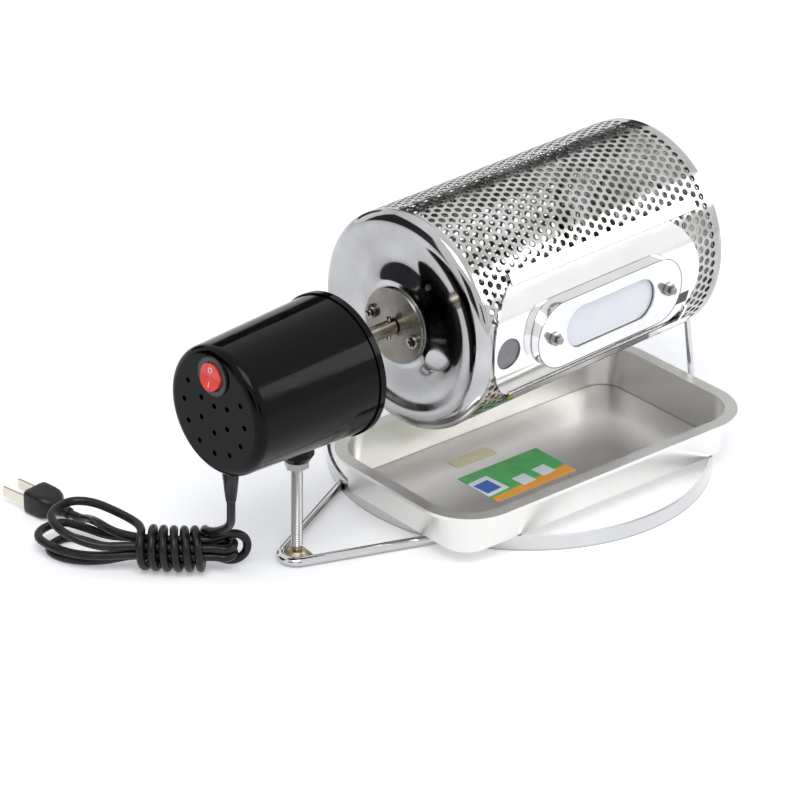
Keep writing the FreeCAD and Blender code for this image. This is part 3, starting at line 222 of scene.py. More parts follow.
def weld_bead():
    look = metal("weld_bead", (0.55, 0.45, 0.33), 0.38, 0.12)
    heat = look.noise(220.0, 3.0, 0.6)
    look.colour(look.tint(heat, (0.24, 0.17, 0.12), (0.66, 0.56, 0.42)))
    look.bump(look.noise(420.0, 3.0, 0.6), 0.0006, 0.9)
    return look.material


def plated_nut():
    return metal("plated_nut", (0.36, 0.35, 0.33), 0.2, 0.08, stain=0.75).material


def black_housing():
    """Gloss black plastic with fine scratches, wipe marks and dust."""
    look = Look("black_housing", (0.002, 0.002, 0.003), 0.07, 0.0, Specular_IOR_Level=0.13)
    dust = look.noise(900.0, 2.0, 0.6)
    wipe = look.noise(28.0, 5.0, 0.7, (1.0, 3.0, 1.0), distortion=0.6)
    look.rough(look.spread(wipe, 0.05, 0.17))
    look.colour(look.tint(dust, (0.001, 0.001, 0.0015), (0.026, 0.026, 0.029), 0.68, 0.86))
    scratches = look.noise(70.0, 2.0, 0.5, (1.0, 14.0, 9.0), distortion=0.3)
    look.bump(look.spread(scratches, 0.0, 1.0, 0.62, 0.68), 0.00003, 0.35)
    look.bump(look.noise(16.0, 2.0), 0.0005, 0.2)
    return look.material


def gear_case():
    return metal("gear_case", (0.5, 0.5, 0.48), 0.36, 0.08, stain=0.85).material


def switch_black():
    look = Look("switch_black", (0.015, 0.015, 0.016), 0.35)
    look.colour(look.tint(look.noise(500.0), (0.01, 0.01, 0.011), (0.028, 0.028, 0.03)))
    look.bump(look.noise(2500.0, 2.0), 0.00004, 0.4)
    return look.material


def switch_red():
    look = Look("switch_red", (0.72, 0.03, 0.015), 0.22, 0.0, Subsurface_Weight=0.15, Coat_Weight=0.3)
    look.set("Subsurface Radius", (0.002, 0.0006, 0.0004))
    look.colour(look.tint(look.noise(160.0), (0.62, 0.02, 0.012), (0.82, 0.045, 0.02)))
    look.rough(look.spread(look.noise(300.0, 4.0), 0.16, 0.3))
    return look.material


def post_zinc():
    look = metal("post_zinc", (0.6, 0.6, 0.59), 0.16, 0.06, stain=0.75)
    return look.material


def finger_hole_shade():
    # Dark grey: painted shade on the plain steel sheet inside the finger hole.
    look = Look("finger_hole_shade", (0.2, 0.2, 0.205), 0.5, 0.5)
    look.colour(look.tint(look.noise(300.0, 4.0), (0.19, 0.19, 0.195), (0.23, 0.23, 0.235)))
    return look.material


def edge_burr_and_shadow():
    """The dull burr of a cut sheet edge, with painted shadow standing for the shade under the edge."""
    look = Look("edge_burr_and_shadow", (0.03, 0.03, 0.03), 0.5, 0.4)
    look.colour(look.tint(look.noise(250.0, 3.0), (0.015, 0.015, 0.016), (0.07, 0.066, 0.06)))
    return look.material


def switch_mark():
    look = Look("switch_mark", (0.86, 0.7, 0.66), 0.45)
    look.colour(look.tint(look.noise(900.0), (0.72, 0.52, 0.48), (0.92, 0.8, 0.76)))
    return look.material


def cord_black():
    look = Look("cord_black", (0.006, 0.006, 0.007), 0.28, 0.0, Specular_IOR_Level=0.3)
    look.colour(look.tint(look.noise(140.0, 4.0), (0.003, 0.003, 0.004), (0.012, 0.012, 0.013)))
    look.rough(look.spread(look.noise(260.0, 4.0), 0.22, 0.42))
    look.bump(look.noise(500.0, 3.0), 0.00012, 0.35)
    return look.material


def plug_black():
    look = Look("plug_black", (0.006, 0.006, 0.007), 0.34, 0.0, Specular_IOR_Level=0.3)
    look.colour(look.tint(look.noise(220.0, 4.0), (0.003, 0.003, 0.004), (0.014, 0.014, 0.015)))
    look.bump(look.noise(1800.0, 2.0), 0.00006, 0.5)
    return look.material


def pin_metal():
    return metal("pin_metal", (0.78, 0.74, 0.62), 0.2, 0.06, (1.0, 12.0, 12.0)).material


def turned_steel():
    """Turned and a little tarnished: rings round the axis and a warm stain."""
    look = metal("turned_steel", (0.4, 0.37, 0.31), 0.24, 0.1, (16.0, 1.0, 1.0), 0.00003, 0.6)
    return look.material


def flange_steel():
    look = metal("flange_steel", (0.34, 0.32, 0.29), 0.28, 0.1, stain=0.7)
    look.bump(look.noise(700.0, 3.0), 0.00004, 0.5)
    return look.material


def cap_steel():
    """Mirror-polished spinning with faint smears."""
    look = Look("cap_steel", (0.5, 0.5, 0.51), 0.06, 1.0)
    smear = look.noise(22.0, 5.0, 0.65, distortion=0.8)
    look.rough(look.spread(smear, 0.025, 0.13))
    # Random tone, with painted shade within 3 mm of creases.
    look.colour(look.tint(look.noise(30.0, 4.0), (0.4, 0.395, 0.39), (0.56, 0.56, 0.57)), 0.003)
    look.bump(look.noise(14.0, 2.0), 0.0012, 0.25)
    return look.material


def shell_steel():
    """Polished punched sheet: slight dimples and warm smears."""
    look = Look("shell_steel", (0.58, 0.58, 0.57), 0.13, 1.0)
    look.colour(look.tint(look.noise(26.0, 5.0, 0.6), (0.4, 0.385, 0.36), (0.68, 0.675, 0.665)))
    look.rough(look.spread(look.noise(45.0, 5.0, 0.65), 0.07, 0.22))
    look.bump(look.noise(55.0, 2.0), 0.0006, 0.3)
    return look.material


def door_steel():
    look = Look("door_steel", (0.88, 0.88, 0.88), 0.1, 1.0)
    # Random tone, with painted shade within 1.4 mm of creases, as where the bezel meets the door.
    look.colour(look.tint(look.noise(30.0, 4.0), (0.86, 0.86, 0.86), (0.93, 0.93, 0.93)), 0.0014)
    look.rough(look.spread(look.noise(60.0, 5.0, 0.6, (1.0, 1.0, 6.0)), 0.05, 0.14))
    look.bump(look.noise(12.0, 2.0), 0.0008, 0.2)
    return look.material


def bezel_steel():
    return metal("bezel_steel", (0.84, 0.84, 0.84), 0.1, 0.05).material


def gasket_dark():
    look = Look("gasket_dark", (0.02, 0.02, 0.02), 0.6)
    look.colour(look.tint(look.noise(400.0), (0.012, 0.012, 0.012), (0.045, 0.043, 0.04)))
    return look.material


def window_glass():
    look = Look("window_glass", (0.95, 0.97, 1.0), 0.06, 0.0, Transmission_Weight=0.25, IOR=1.5,
                Coat_Weight=0.6)
    look.set("Coat Roughness", 0.02)
    film = look.noise(26.0, 4.0, 0.6)
    look.rough(look.spread(film, 0.05, 0.2))
    look.colour(look.tint(film, (0.9, 0.93, 1.0), (0.98, 0.985, 1.0)))
    return look.material


def catch_black():
    look = Look("catch_black", (0.02, 0.019, 0.018), 0.42)
    look.colour(look.tint(look.noise(400.0, 4.0), (0.012, 0.011, 0.01), (0.06, 0.055, 0.05)))
    look.bump(look.noise(1200.0, 2.0), 0.0001, 0.5)
    return look.material


def tray_steel():
    """Satin pressed steel, brushed along the tray, with scuffs on its floor."""
    turn = math.radians(4.3)
    look = Look("tray_steel", (0.8, 0.79, 0.77), 0.32, 1.0)
    # Random tone, with painted shade within 2 mm of creases.
    look.colour(look.tint(look.noise(8.0, 4.0, 0.55), (0.74, 0.725, 0.7), (0.86, 0.85, 0.835)), 0.002)
    brushed = look.noise(26.0, 3.0, 0.5, (1.0, 30.0, 1.0), turn)
    scuffs = look.noise(16.0, 5.0, 0.7, distortion=1.2)
    look.rough(look.spread(look.join(brushed, scuffs), 0.27, 0.37))
    look.bump(look.noise(6.0, 1.0), 0.0008, 0.15)
    return look.material


def label_green():
    """A plain printed sticker: green, with an orange foot, a blue field and two pale blanks."""
    look = Look("label_green", (0.1, 0.45, 0.12), 0.3, 0.0, Coat_Weight=0.3, Coat_Roughness=0.1)
    low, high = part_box("tray_sticker")
    split = look.node("SeparateXYZ")
    look.link(look.spot(), split.inputs["Vector"])
    across = look.spread(split.outputs["Y"], 0.0, 1.0, low.y, high.y)
    along = look.spread(split.outputs["X"], 0.0, 1.0, low.x, high.x)
    printed = look.tint(look.noise(90.0), (0.06, 0.42, 0.09), (0.1, 0.52, 0.14))
    for colour, sides in STICKER_BLOCKS:
        plain = look.node("RGB")
        plain.outputs[0].default_value = (*colour, 1.0)
        printed = look.mix(look.block(along, across, sides), printed, plain.outputs[0])
    look.colour(printed)
    look.bump(look.noise(60.0, 2.0), 0.0003, 0.3)
    return look.material


STICKER_BLOCKS = (
    ((0.86, 0.36, 0.04), (0.0, 1.0, 0.0, 0.24)),
    ((0.82, 0.86, 0.9), (0.0, 0.27, 0.3, 0.78)),
    ((0.03, 0.14, 0.5), (0.04, 0.22, 0.38, 0.68)),
    ((0.72, 0.8, 0.84), (0.4, 0.56, 0.2, 0.46)),
    ((0.72, 0.8, 0.84), (0.66, 0.82, 0.2, 0.46)),
)


def label_cream():
    look = Look("label_cream", (0.93, 0.86, 0.6), 0.5)
    look.colour(look.tint(look.noise(180.0, 4.0), (0.88, 0.8, 0.5), (0.95, 0.9, 0.68)))
    return look.material


LOOKS = {
    chrome_wire: ["base_ring", "base_rod", "rear_support"],
    weld_bead: ["post_weld"],
    plated_nut: ["post_nut", "cover_screws", "flange_screws", "rear_flange_screws", "flange_nuts",
                 "rear_flange_nuts", "window_studs", "window_nuts"],
    black_housing: ["motor_housing", "housing_rear_cover"],
    gear_case: ["gearbox", "motor_can"],
    switch_black: ["switch_body"],
    switch_red: ["switch_rocker"],
    cord_black: ["cord_gland", "cord_lead", "cord_hank"],
    plug_black: ["plug_body"],
    pin_metal: ["plug_pins"],
    turned_steel: ["drive_sleeve", "drive_stub", "cross_pin", "rear_axle", "motor_post"],
    flange_steel: ["drive_flange", "rear_flange"],
    cap_steel: ["front_cap", "rear_cap"],
    shell_steel: ["drum_shell", "stirring_vanes"],
    door_steel: ["door_plate", "upper_rail", "lower_rail"],
    bezel_steel: ["window_bezel"],
    gasket_dark: ["window_gasket"],
    window_glass: ["window_glass"],
    catch_black: ["door_catch"],
    tray_steel: ["chaff_tray"],
    label_green: ["tray_sticker"],
    label_cream: ["tray_label"],
    post_zinc: [],
    finger_hole_shade: [],
    edge_burr_and_shadow: [],
    switch_mark: [],
}
MADE = {}


def dress_nodes():
    for recipe, names in LOOKS.items():
        MADE[recipe] = recipe()
        for name in names:
            NODES[name].data.materials.clear()
            NODES[name].data.materials.append(MADE[recipe])


# New pieces

def piece(name, mesh, recipe, body, replaced=(), smooth=True):
    """Link a mesh or curve as a piece of the object."""
    item = bpy.data.objects.new(name, mesh)
    bpy.context.scene.collection.objects.link(item)
    mesh.materials.append(MADE[recipe])
    if smooth and hasattr(mesh, "polygons"):
        mesh.shade_smooth()
    if replaced:
        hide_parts(*replaced)
    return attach(item, body)


def mesh_of(name, points, faces):
    mesh = bpy.data.meshes.new(name)
    mesh.from_pydata(points, [], faces)
    mesh.validate()
    return mesh


# The drum's perforated sheet

HOLE_RADIUS = 2.2
HOLE_SIDES = 12
HOLES_ROUND = 69
COLUMN_STEP = 5.39
SHEET_MARGIN = 5.0
SHEET_WALL = 0.6
FEED_START = 58.0
FEED_LENGTH = 104.0
FEED_HALF_HEIGHT = 24.0
FEED_CORNER = 8.0
SEAM_TURN = math.radians(-115.0)
EDGE_STEP = 3.1
FINGER_SPOT = (14.0, -2.0)
FINGER_RADIUS = 9.7
HOLE_MARGIN = 0.6
CORNER_STEPS = 4
WELD_REACH = 1e-4


def ring_of(centre, radius, sides):
    return [(centre[0] + radius * math.cos(math.tau * i / sides),
             centre[1] + radius * math.sin(math.tau * i / sides)) for i in range(sides)]


def along_line(start, end):
    """Points from start up to, and without, end."""
    count = max(1, round(math.dist(start, end) / EDGE_STEP))
    return [(start[0] + (end[0] - start[0]) * i / count, start[1] + (end[1] - start[1]) * i / count)
            for i in range(count)]


def closed_line(corners):
    points = []
    for start, end in zip(corners, corners[1:] + corners[:1]):
        points += along_line(start, end)
    return points


class Sheet:
    """The drum's sheet laid flat, in millimetres, and how it rolls up round the drum's axis."""

    def __init__(self):
        low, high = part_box("drum_shell")
        self.start_x = low.x
        self.axis_z = (low.z + high.z) / 2
        self.radius = (high.z - low.z) / 2
        self.length = (high.x - low.x) / MM
        self.around = math.tau * self.radius / MM
        self.half_arc = math.asin(FEED_HALF_HEIGHT * MM / self.radius) * self.radius / MM
        self.seam = SEAM_TURN * self.radius / MM

    def roll(self, place, radius):
        turn = place[1] * MM / self.radius
        return (self.start_x + place[0] * MM, -radius * math.cos(turn),
                self.axis_z + radius * math.sin(turn))

    def border(self):
        ends = (self.seam, self.seam + self.around)
        return closed_line([(0.0, ends[0]), (self.length, ends[0]), (self.length, ends[1]), (0.0, ends[1])])

    def feed_opening(self):
        """The opening's rounded rectangle."""
        corners = []
        end = FEED_START + FEED_LENGTH
        places = ((end, self.half_arc), (FEED_START, self.half_arc), (FEED_START, -self.half_arc),
                  (end, -self.half_arc))
        for corner, (x, s) in enumerate(places):
            centre_x = x - FEED_CORNER if x > FEED_START else x + FEED_CORNER
            centre_s = s - FEED_CORNER if s > 0 else s + FEED_CORNER
            for step in range(CORNER_STEPS + 1):
                turn = math.radians(90.0 * (corner + step / CORNER_STEPS))
                corners.append((centre_x + FEED_CORNER * math.cos(turn),
                                centre_s + FEED_CORNER * math.sin(turn)))
        return closed_line(corners)

    def is_punched(self, x, s):
        """Holes keep clear of the feed opening and of the door's finger hole."""
        margin = HOLE_RADIUS + HOLE_MARGIN
        in_length = FEED_START - margin < x < FEED_START + FEED_LENGTH + margin
        in_feed = in_length and abs(s) < self.half_arc + margin
        return not in_feed and math.dist((x, s), FINGER_SPOT) >= FINGER_RADIUS + HOLE_RADIUS

    def holes(self):
        """Staggered columns of round holes."""
        pitch = self.around / HOLES_ROUND
        columns = int((self.length - 2 * SHEET_MARGIN) / COLUMN_STEP) + 1
        first = (self.length - (columns - 1) * COLUMN_STEP) / 2
        rings = []
        for column in range(columns):
            x = first + column * COLUMN_STEP
            for row in range(HOLES_ROUND):
                s = self.seam + pitch * (row + 0.5 * (column % 2)) + pitch * 0.25
                if self.is_punched(x, s):
                    rings.append(ring_of((x, s), HOLE_RADIUS, HOLE_SIDES))
        return rings


def fill_between(loops):
    """Triangles inside the first loop and outside all others, with the points they use."""
    flat, edges, owner = [], [], []
    for number, loop in enumerate(loops):
        base = len(flat)
        flat += [Vector(p) for p in loop]
        owner += [number] * len(loop)
        edges += [(base + i, base + (i + 1) % len(loop)) for i in range(len(loop))]
    result = geometry.delaunay_2d_cdt(flat, edges, [], 0, WELD_REACH)
    places, triangles, origin = result[0], result[2], result[3]
    holder = [owner[found[0]] if found else 0 for found in origin]
    kept = []
    for face in triangles:
        held = {holder[i] for i in face}
        if len(held) > 1 or 0 in held:
            kept.append(face)
    return places, kept


def shell_mesh():
    """Outer and inner faces of the sheet, and the walls of its edges and holes."""
    sheet = Sheet()
    loops = [sheet.border(), sheet.feed_opening()] + sheet.holes()
    places, kept = fill_between(loops)
    outer = sheet.radius
    inner = outer - SHEET_WALL * MM
    count = len(places)
    points = [sheet.roll(p, outer) for p in places] + [sheet.roll(p, inner) for p in places]
    faces = [tuple(face) for face in kept]
    faces += [tuple(i + count for i in reversed(face)) for face in kept]
    for loop in loops:
        base = len(points)
        size = len(loop)
        points += [sheet.roll(p, outer) for p in loop]
        points += [sheet.roll(p, inner) for p in loop]
        for i in range(size):
            j = (i + 1) % size
            faces.append((base + i, base + size + i, base + size + j, base + j))
    return mesh_of("drum_sheet", points, faces)


# The cord: one smooth line from the gland, through the hank, to the plug

CORD_DIAMETER = 5.2
HANK_TIP = Vector((-155.6, 16.1, 0.0))
HANK_HEADING = math.radians(150.0)
HANK_BEND = 131.0
STRAND_STEP = CORD_DIAMETER + 0.55
FLOOR_GAP = 0.05


def hank_frame(along):
    """Heading and left-hand direction of the hank's curved axis."""
    turn = HANK_HEADING - along / HANK_BEND
    heading = Vector((math.cos(turn), math.sin(turn), 0.0))
    return heading, Vector((-heading.y, heading.x, 0.0))


def hank_point(along, side, height):
    first = hank_frame(0.0)[1]
    left = hank_frame(along)[1]
    return HANK_TIP - first * HANK_BEND + left * (HANK_BEND + side) + Vector((0.0, 0.0, height))


HANK_WRAPS = 6
WRAP_PITCH = 6.35
WRAP_START = 18.5
WRAP_POINTS = 12
WRAP_SWELL = 1.02


def hank_wraps(coil, centre):
    """The turns round the hank's waist, as points just outside the turning cord."""
    swell = coil * WRAP_SWELL
    points = []
    for step in range(HANK_WRAPS * WRAP_POINTS + 1):
        turn = math.tau * step / WRAP_POINTS
        along = WRAP_START + WRAP_PITCH * step / WRAP_POINTS
        points.append((along, -swell * math.sin(turn), centre + swell * math.cos(turn)))
    return points


def flat_fold(side, height):
    """Back along one side of the waist, round its near end, and forward along the other."""
    run = [(along, side, height) for along in (61.0, 48.0, 35.0, 22.0, 15.0)]
    bend = [(8.0, 8.2, height), (2.6, 4.2, height), (2.6, -4.2, height), (8.0, -8.2, height)]
    return run + bend + [(along, -out, lift) for along, out, lift in reversed(run)]


def upright_fold(foot, top, centre):
    """Back under the waist, up round its near end, and forward on top of it."""
    tall = STRAND_STEP * 1.75
    run = (61.0, 48.0, 35.0, 22.0, 13.0)
    bend = [(3.0, 0.0, centre - tall), (-5.6, 0.0, centre - 5.0),
            (-5.6, 0.0, centre + 5.0), (3.0, 0.0, centre + tall)]
    return [(along, 0.0, foot) for along in run] + bend + [(along, 0.0, top) for along in reversed(run)]


def hank_route():
    """Points of the hank as along, side and height: wraps, then folds whose far loops fan out."""
    side, half, coil = STRAND_STEP * math.cos(math.radians(30.0)), STRAND_STEP / 2, STRAND_STEP * 2
    floor = CORD_DIAMETER / 2 + FLOOR_GAP
    centre = coil + floor
    second = floor + STRAND_STEP * 1.22
    route = hank_wraps(coil, centre)
    route += [(62.0, -7.5, 25.85), (80.0, -15.5, 26.3), (100.0, -18.5, 27.0), (114.0, -11.0, 27.2),
              (113.5, 8.0, 26.5), (98.0, 17.5, 23.5), (78.0, 14.0, 17.5)]
    route += flat_fold(side, centre + half)
    route += [(84.0, -13.0, second), (104.0, -15.5, second), (124.0, -13.0, second),
              (124.0, 10.0, second), (104.0, 15.5, second), (84.0, 14.0, second)]
    route += flat_fold(side, centre - half)
    route += [(84.0, -11.5, floor), (100.0, -12.5, floor), (116.0, -11.0, floor),
              (116.0, 9.0, floor), (100.0, 12.5, floor), (80.0, 8.0, floor + 1.5)]
    route += upright_fold(centre - STRAND_STEP, centre + STRAND_STEP, centre)
    return route + [(76.0, -3.0, 19.5), (92.0, -12.5, 18.0), (106.0, -22.0, 12.0), (116.0, -25.0, 8.05),
                    (124.0, -25.0, 8.05), (129.2, -25.0, 8.05)]


def cord_route():
    """The lead drops from the gland and runs into the hank; lengths in millimetres."""
    low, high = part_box("cord_gland")
    gland = Vector(((low.x + high.x) / 2, (low.y + high.y) / 2, low.z)) / MM
    start = hank_point(12.0, 10.0, 31.0)
    heading, aside = hank_frame(12.0)
    way = (heading * 0.48 - aside * 0.64 - Vector((0.0, 0.0, 0.6))).normalized()
    lead = [gland, gland - Vector((0.0, 0.0, 10.0)), start - way * 12.0, start + way * 2.0]
    return lead + [hank_point(*spot) for spot in hank_route()]


def build_cord():
    route = [point * MM for point in cord_route()]
    curve = bpy.data.curves.new("mains_cord", "CURVE")
    curve.dimensions = "3D"
    curve.bevel_depth = CORD_DIAMETER / 2 * MM
    curve.bevel_resolution = 5
    curve.resolution_u = 6
    curve.use_fill_caps = True
    line = curve.splines.new("NURBS")
    line.points.add(len(route) - 1)
    for point, place in zip(line.points, route):
        point.co = (*place, 1.0)
    line.order_u = 3
    line.use_endpoint_u = True
    cord = piece("mains_cord", curve, cord_black, "frame", ("cord_lead", "cord_hank"))
    plug = build_plug(route[-1], (route[-1] - route[-2]).normalized())
    relief = build_relief(route[0])


def ring_faces(rows, sides):
    """Quads between neighbouring rings of points, and a face over each end."""
    faces = []
    for row in range(rows - 1):
        here = row * sides
        for step in range(sides):
            after = (step + 1) % sides
            faces.append((here + step, here + after, here + sides + after, here + sides + step))
    faces.append(tuple(reversed(range(sides))))
    faces.append(tuple(range((rows - 1) * sides, rows * sides)))
    return faces


def lathe(profile, sides, turned):
    """Points and faces of a turned form: profile holds (distance along the axis, radius) in millimetres."""
    points = []
    for along, radius in profile:
        for step in range(sides):
            turn = math.tau * step / sides
            points.append(turned @ Vector((radius * math.cos(turn), radius * math.sin(turn), along)) * MM)
    return points, ring_faces(len(profile), sides)


RELIEF_PROFILE = ((0.0, 0.1), (0.0, 0.45), (2.0, 0.7), (6.0, 1.2))
RELIEF_HEAD = ((-3.0, 5.2), (-2.8, 5.9), (-0.4, 6.0), (0.0, 5.6), (6.0, 3.6))
RELIEF_TOP = 7.5
RELIEF_SIDES = 28


def build_relief(exit_place):
    """The smooth tapered strain relief between the housing and the cord."""
    foot = exit_place.z / MM
    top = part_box("cord_gland")[1].z / MM - RELIEF_TOP
    profile = [(foot + rise, CORD_DIAMETER / 2 + wall) for rise, wall in RELIEF_PROFILE]
    profile += [(top + rise, radius) for rise, radius in RELIEF_HEAD]
    place = Matrix.Translation(Vector((exit_place.x / MM, exit_place.y / MM, 0.0)))
    points, faces = lathe(profile, RELIEF_SIDES, place)
    mesh = mesh_of("strain_relief", points, faces)
    return piece("strain_relief", mesh, cord_black, "frame", ("cord_gland",))


def soft_square(width, height, sharp, turn):
    """A point of a rounded rectangle; sharp 2 gives an ellipse, more gives squarer corners."""
    c, s = math.cos(turn), math.sin(turn)
    power = 2.0 / sharp
    return (width / 2 * math.copysign(abs(c) ** power, c), height / 2 * math.copysign(abs(s) ** power, s))


PLUG_SIDES = 32
PLUG_SECTIONS = (
    (-1.0, 6.6, 6.6, 2.0), (0.0, 7.2, 7.2, 2.0), (2.6, 7.6, 7.6, 2.0), (3.0, 6.6, 6.6, 2.0),
    (4.4, 6.9, 6.9, 2.0), (4.8, 8.4, 8.2, 2.0), (6.6, 8.9, 8.7, 2.0), (7.0, 7.9, 7.7, 2.1),
    (8.4, 8.4, 8.0, 2.2), (8.8, 10.4, 9.6, 2.3), (10.8, 13.6, 11.4, 2.8), (13.0, 17.2, 13.8, 4.0),
    (16.0, 18.6, 15.2, 5.5), (20.0, 18.8, 15.6, 6.5), (24.0, 18.9, 15.7, 6.5), (28.6, 19.0, 15.8, 6.5),
    (29.6, 18.2, 15.2, 6.0), (30.0, 16.6, 13.8, 5.0))


def build_plug(start, heading):
    """A moulded plug: a ribbed neck that swells into a squared grip."""
    across = Vector((0.0, 0.0, 1.0)).cross(heading).normalized()
    rise = heading.cross(across).normalized()
    points = []
    for along, width, height, sharp in PLUG_SECTIONS:
        for step in range(PLUG_SIDES):
            out, up = soft_square(width, height, sharp, math.tau * step / PLUG_SIDES)
            points.append(start + (heading * along + across * out + rise * up) * MM)
    faces = ring_faces(len(PLUG_SECTIONS), PLUG_SIDES)
    return piece("moulded_plug", mesh_of("moulded_plug", points, faces), plug_black, "frame",
                 ("plug_body",))


# Small metal pieces

THREAD_PITCH = 1.25
THREAD_DEPTH = 0.6
THREAD_RUN = 66.0
THREAD_SIDES = 28
THREAD_STEPS = 6
POST_RADIUS = 3.0


def build_post():
    """The post's plain foot and its rolled thread, one surface."""
    low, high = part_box("motor_post")
    middle = (low + high) / 2
    outer = (high.x - low.x) / 2 / MM
    foot, top = low.z / MM, high.z / MM
    start = top - THREAD_RUN
    turns = int(THREAD_RUN / THREAD_PITCH * THREAD_STEPS)
    plain_levels = [foot, foot + 0.3, start - 0.6]
    levels = plain_levels + [start + THREAD_PITCH * i / THREAD_STEPS for i in range(turns + 1)]
    points = []
    for row, level in enumerate(levels):
        for side in range(THREAD_SIDES):
            turn = math.tau * side / THREAD_SIDES
            phase = (level - start) / THREAD_PITCH - side / THREAD_SIDES
            ridge = abs((phase % 1.0) * 2.0 - 1.0)
            radius = POST_RADIUS if row < len(plain_levels) else outer - THREAD_DEPTH * ridge
            points.append((middle.x + radius * MM * math.cos(turn), middle.y + radius * MM * math.sin(turn),
                           level * MM))
    mesh = mesh_of("threaded_post", points, ring_faces(len(levels), THREAD_SIDES))
    piece("threaded_post", mesh, post_zinc, "frame", ("motor_post",))


CROSS_WIDTH = 0.34
CROSS_REACH = 1.15
CROSS_DEPTH = 6.0


def cross_cutter(radius):
    """Two crossed bars that cut a Phillips recess."""
    cutter = bmesh.new()
    thin, broad = radius * CROSS_WIDTH, radius * CROSS_REACH
    for width, length in ((thin, broad), (broad, thin)):
        made = bmesh.ops.create_cube(cutter, size=1.0)
        bmesh.ops.scale(cutter, vec=(width * MM, length * MM, CROSS_DEPTH * MM), verts=made["verts"])
    mesh = bpy.data.meshes.new("cross_cutter")
    cutter.to_mesh(mesh)
    cutter.free()
    return mesh


def cut_cross(mesh, radius):
    """The mesh with a cross cut through it along Z."""
    solid = bpy.data.objects.new("cross_head", mesh)
    tool = bpy.data.objects.new("cross_tool", cross_cutter(radius))
    for item in (solid, tool):
        bpy.context.scene.collection.objects.link(item)
    step = solid.modifiers.new("cross", "BOOLEAN")
    step.operation = "DIFFERENCE"
    step.object = tool
    step.use_self = True
    bpy.context.view_layer.update()
    found = bpy.data.meshes.new_from_object(solid.evaluated_get(bpy.context.evaluated_depsgraph_get()))
    for item in (solid, tool):
        bpy.data.objects.remove(item)
    return found


DOME_SIDES = 32
DOME_SHARES = ((0.25, 1.0), (0.6, 0.86), (0.9, 0.62), (1.05, 0.3))
DOME_EDGE = 0.08


def screw_dome(name, centre, outward, radius, body):
    """A domed cap with a cross recess, on the flat face of a screw head."""
    profile = [(0.0, radius + 0.05)] + [(rise, radius * share) for rise, share in DOME_SHARES] + [(1.1, 0.05)]
    points, faces = lathe(profile, DOME_SIDES, Matrix.Identity(4))
    mesh = cut_cross(mesh_of(name, points, faces), radius)
    turned = outward.to_track_quat("Z", "Y").to_matrix().to_4x4()
    mesh.transform(Matrix.Translation(centre) @ turned)
    item = piece(name, mesh, plated_nut, body, smooth=False)
    item.modifiers.new("edges", "BEVEL").width = DOME_EDGE * MM


def solids_of(node):
    """Corner pairs of each separate solid in a CAD node."""
    mesh = NODES[node].data
    parent = list(range(len(mesh.vertices)))

    def root(i):
        while parent[i] != i:
            parent[i] = parent[parent[i]]
            i = parent[i]
        return i

    spots = {}
    for vertex in mesh.vertices:
        key = tuple(round(c, 6) for c in vertex.co)
        if key in spots:
            parent[root(vertex.index)] = root(spots[key])
        spots[key] = vertex.index
    for edge in mesh.edges:
        parent[root(edge.vertices[0])] = root(edge.vertices[1])
    groups = {}
    for vertex in mesh.vertices:
        groups.setdefault(root(vertex.index), []).append(vertex.co)
    corners = []
    for places in groups.values():
        low = Vector([min(p[i] for p in places) for i in range(3)])
        high = Vector([max(p[i] for p in places) for i in range(3)])
        corners.append((low, high))
    return corners


def build_screw_domes():
    """Cross-recessed tops for the flange screws and the rear cover's screws."""
    groups = (("flange_screws", -1, "drum"), ("rear_flange_screws", 1, "drum"), ("cover_screws", 1, "frame"))
    for node, side, body in groups:
        for i, (low, high) in enumerate(solids_of(node)):
            centre = (low + high) / 2
            centre.x = low.x if side < 0 else high.x
            radius = (high.z - low.z) / 2 / MM
            screw_dome("%s_top_%d" % (node, i), centre, Vector((side, 0.0, 0.0)), radius, body)


CAP_SIDES = 128
CAP_PROFILE = (
    (0.0, 0.2), (0.0, 26.0), (0.4, 27.5), (1.9, 31.0), (3.9, 36.0), (5.3, 41.0), (5.9, 46.0), (5.6, 51.0),
    (4.9, 55.5), (4.7, 59.0), (5.3, 62.5), (6.7, 65.6), (8.6, 67.7), (10.2, 68.3), (11.9, 68.3), (12.0, 67.2))


def build_cap_face():
    """The spun front cap: flat hub seat, a soft valley, and a rolled shoulder down to its bead."""
    low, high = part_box("front_cap")
    axis_z = (low.z + high.z) / 2 / MM
    place = Matrix.Translation(Vector((low.x / MM, 0.0, axis_z))) @ Matrix.Rotation(math.pi / 2, 4, "Y")
    points, faces = lathe(CAP_PROFILE, CAP_SIDES, place)
    item = piece("spun_cap", mesh_of("spun_cap", points, faces), cap_steel, "drum",
                 ("front_cap",))
    soften = item.modifiers.new("soft", "SUBSURF")
    soften.levels = soften.render_levels = 2


EDGE_LINE = 0.2
RIM_STEPS = 24


def edge_line(name, points, closed):
    """A fine dark line of painted shadow along a sheet edge, through points in metres."""
    curve = bpy.data.curves.new(name, "CURVE")
    curve.dimensions = "3D"
    curve.bevel_depth = EDGE_LINE * MM
    curve.bevel_resolution = 1
    curve.use_fill_caps = not closed
    line = curve.splines.new("POLY")
    line.points.add(len(points) - 1)
    line.use_cyclic_u = closed
    for point, place in zip(line.points, points):
        point.co = (*place, 1.0)
    return curve


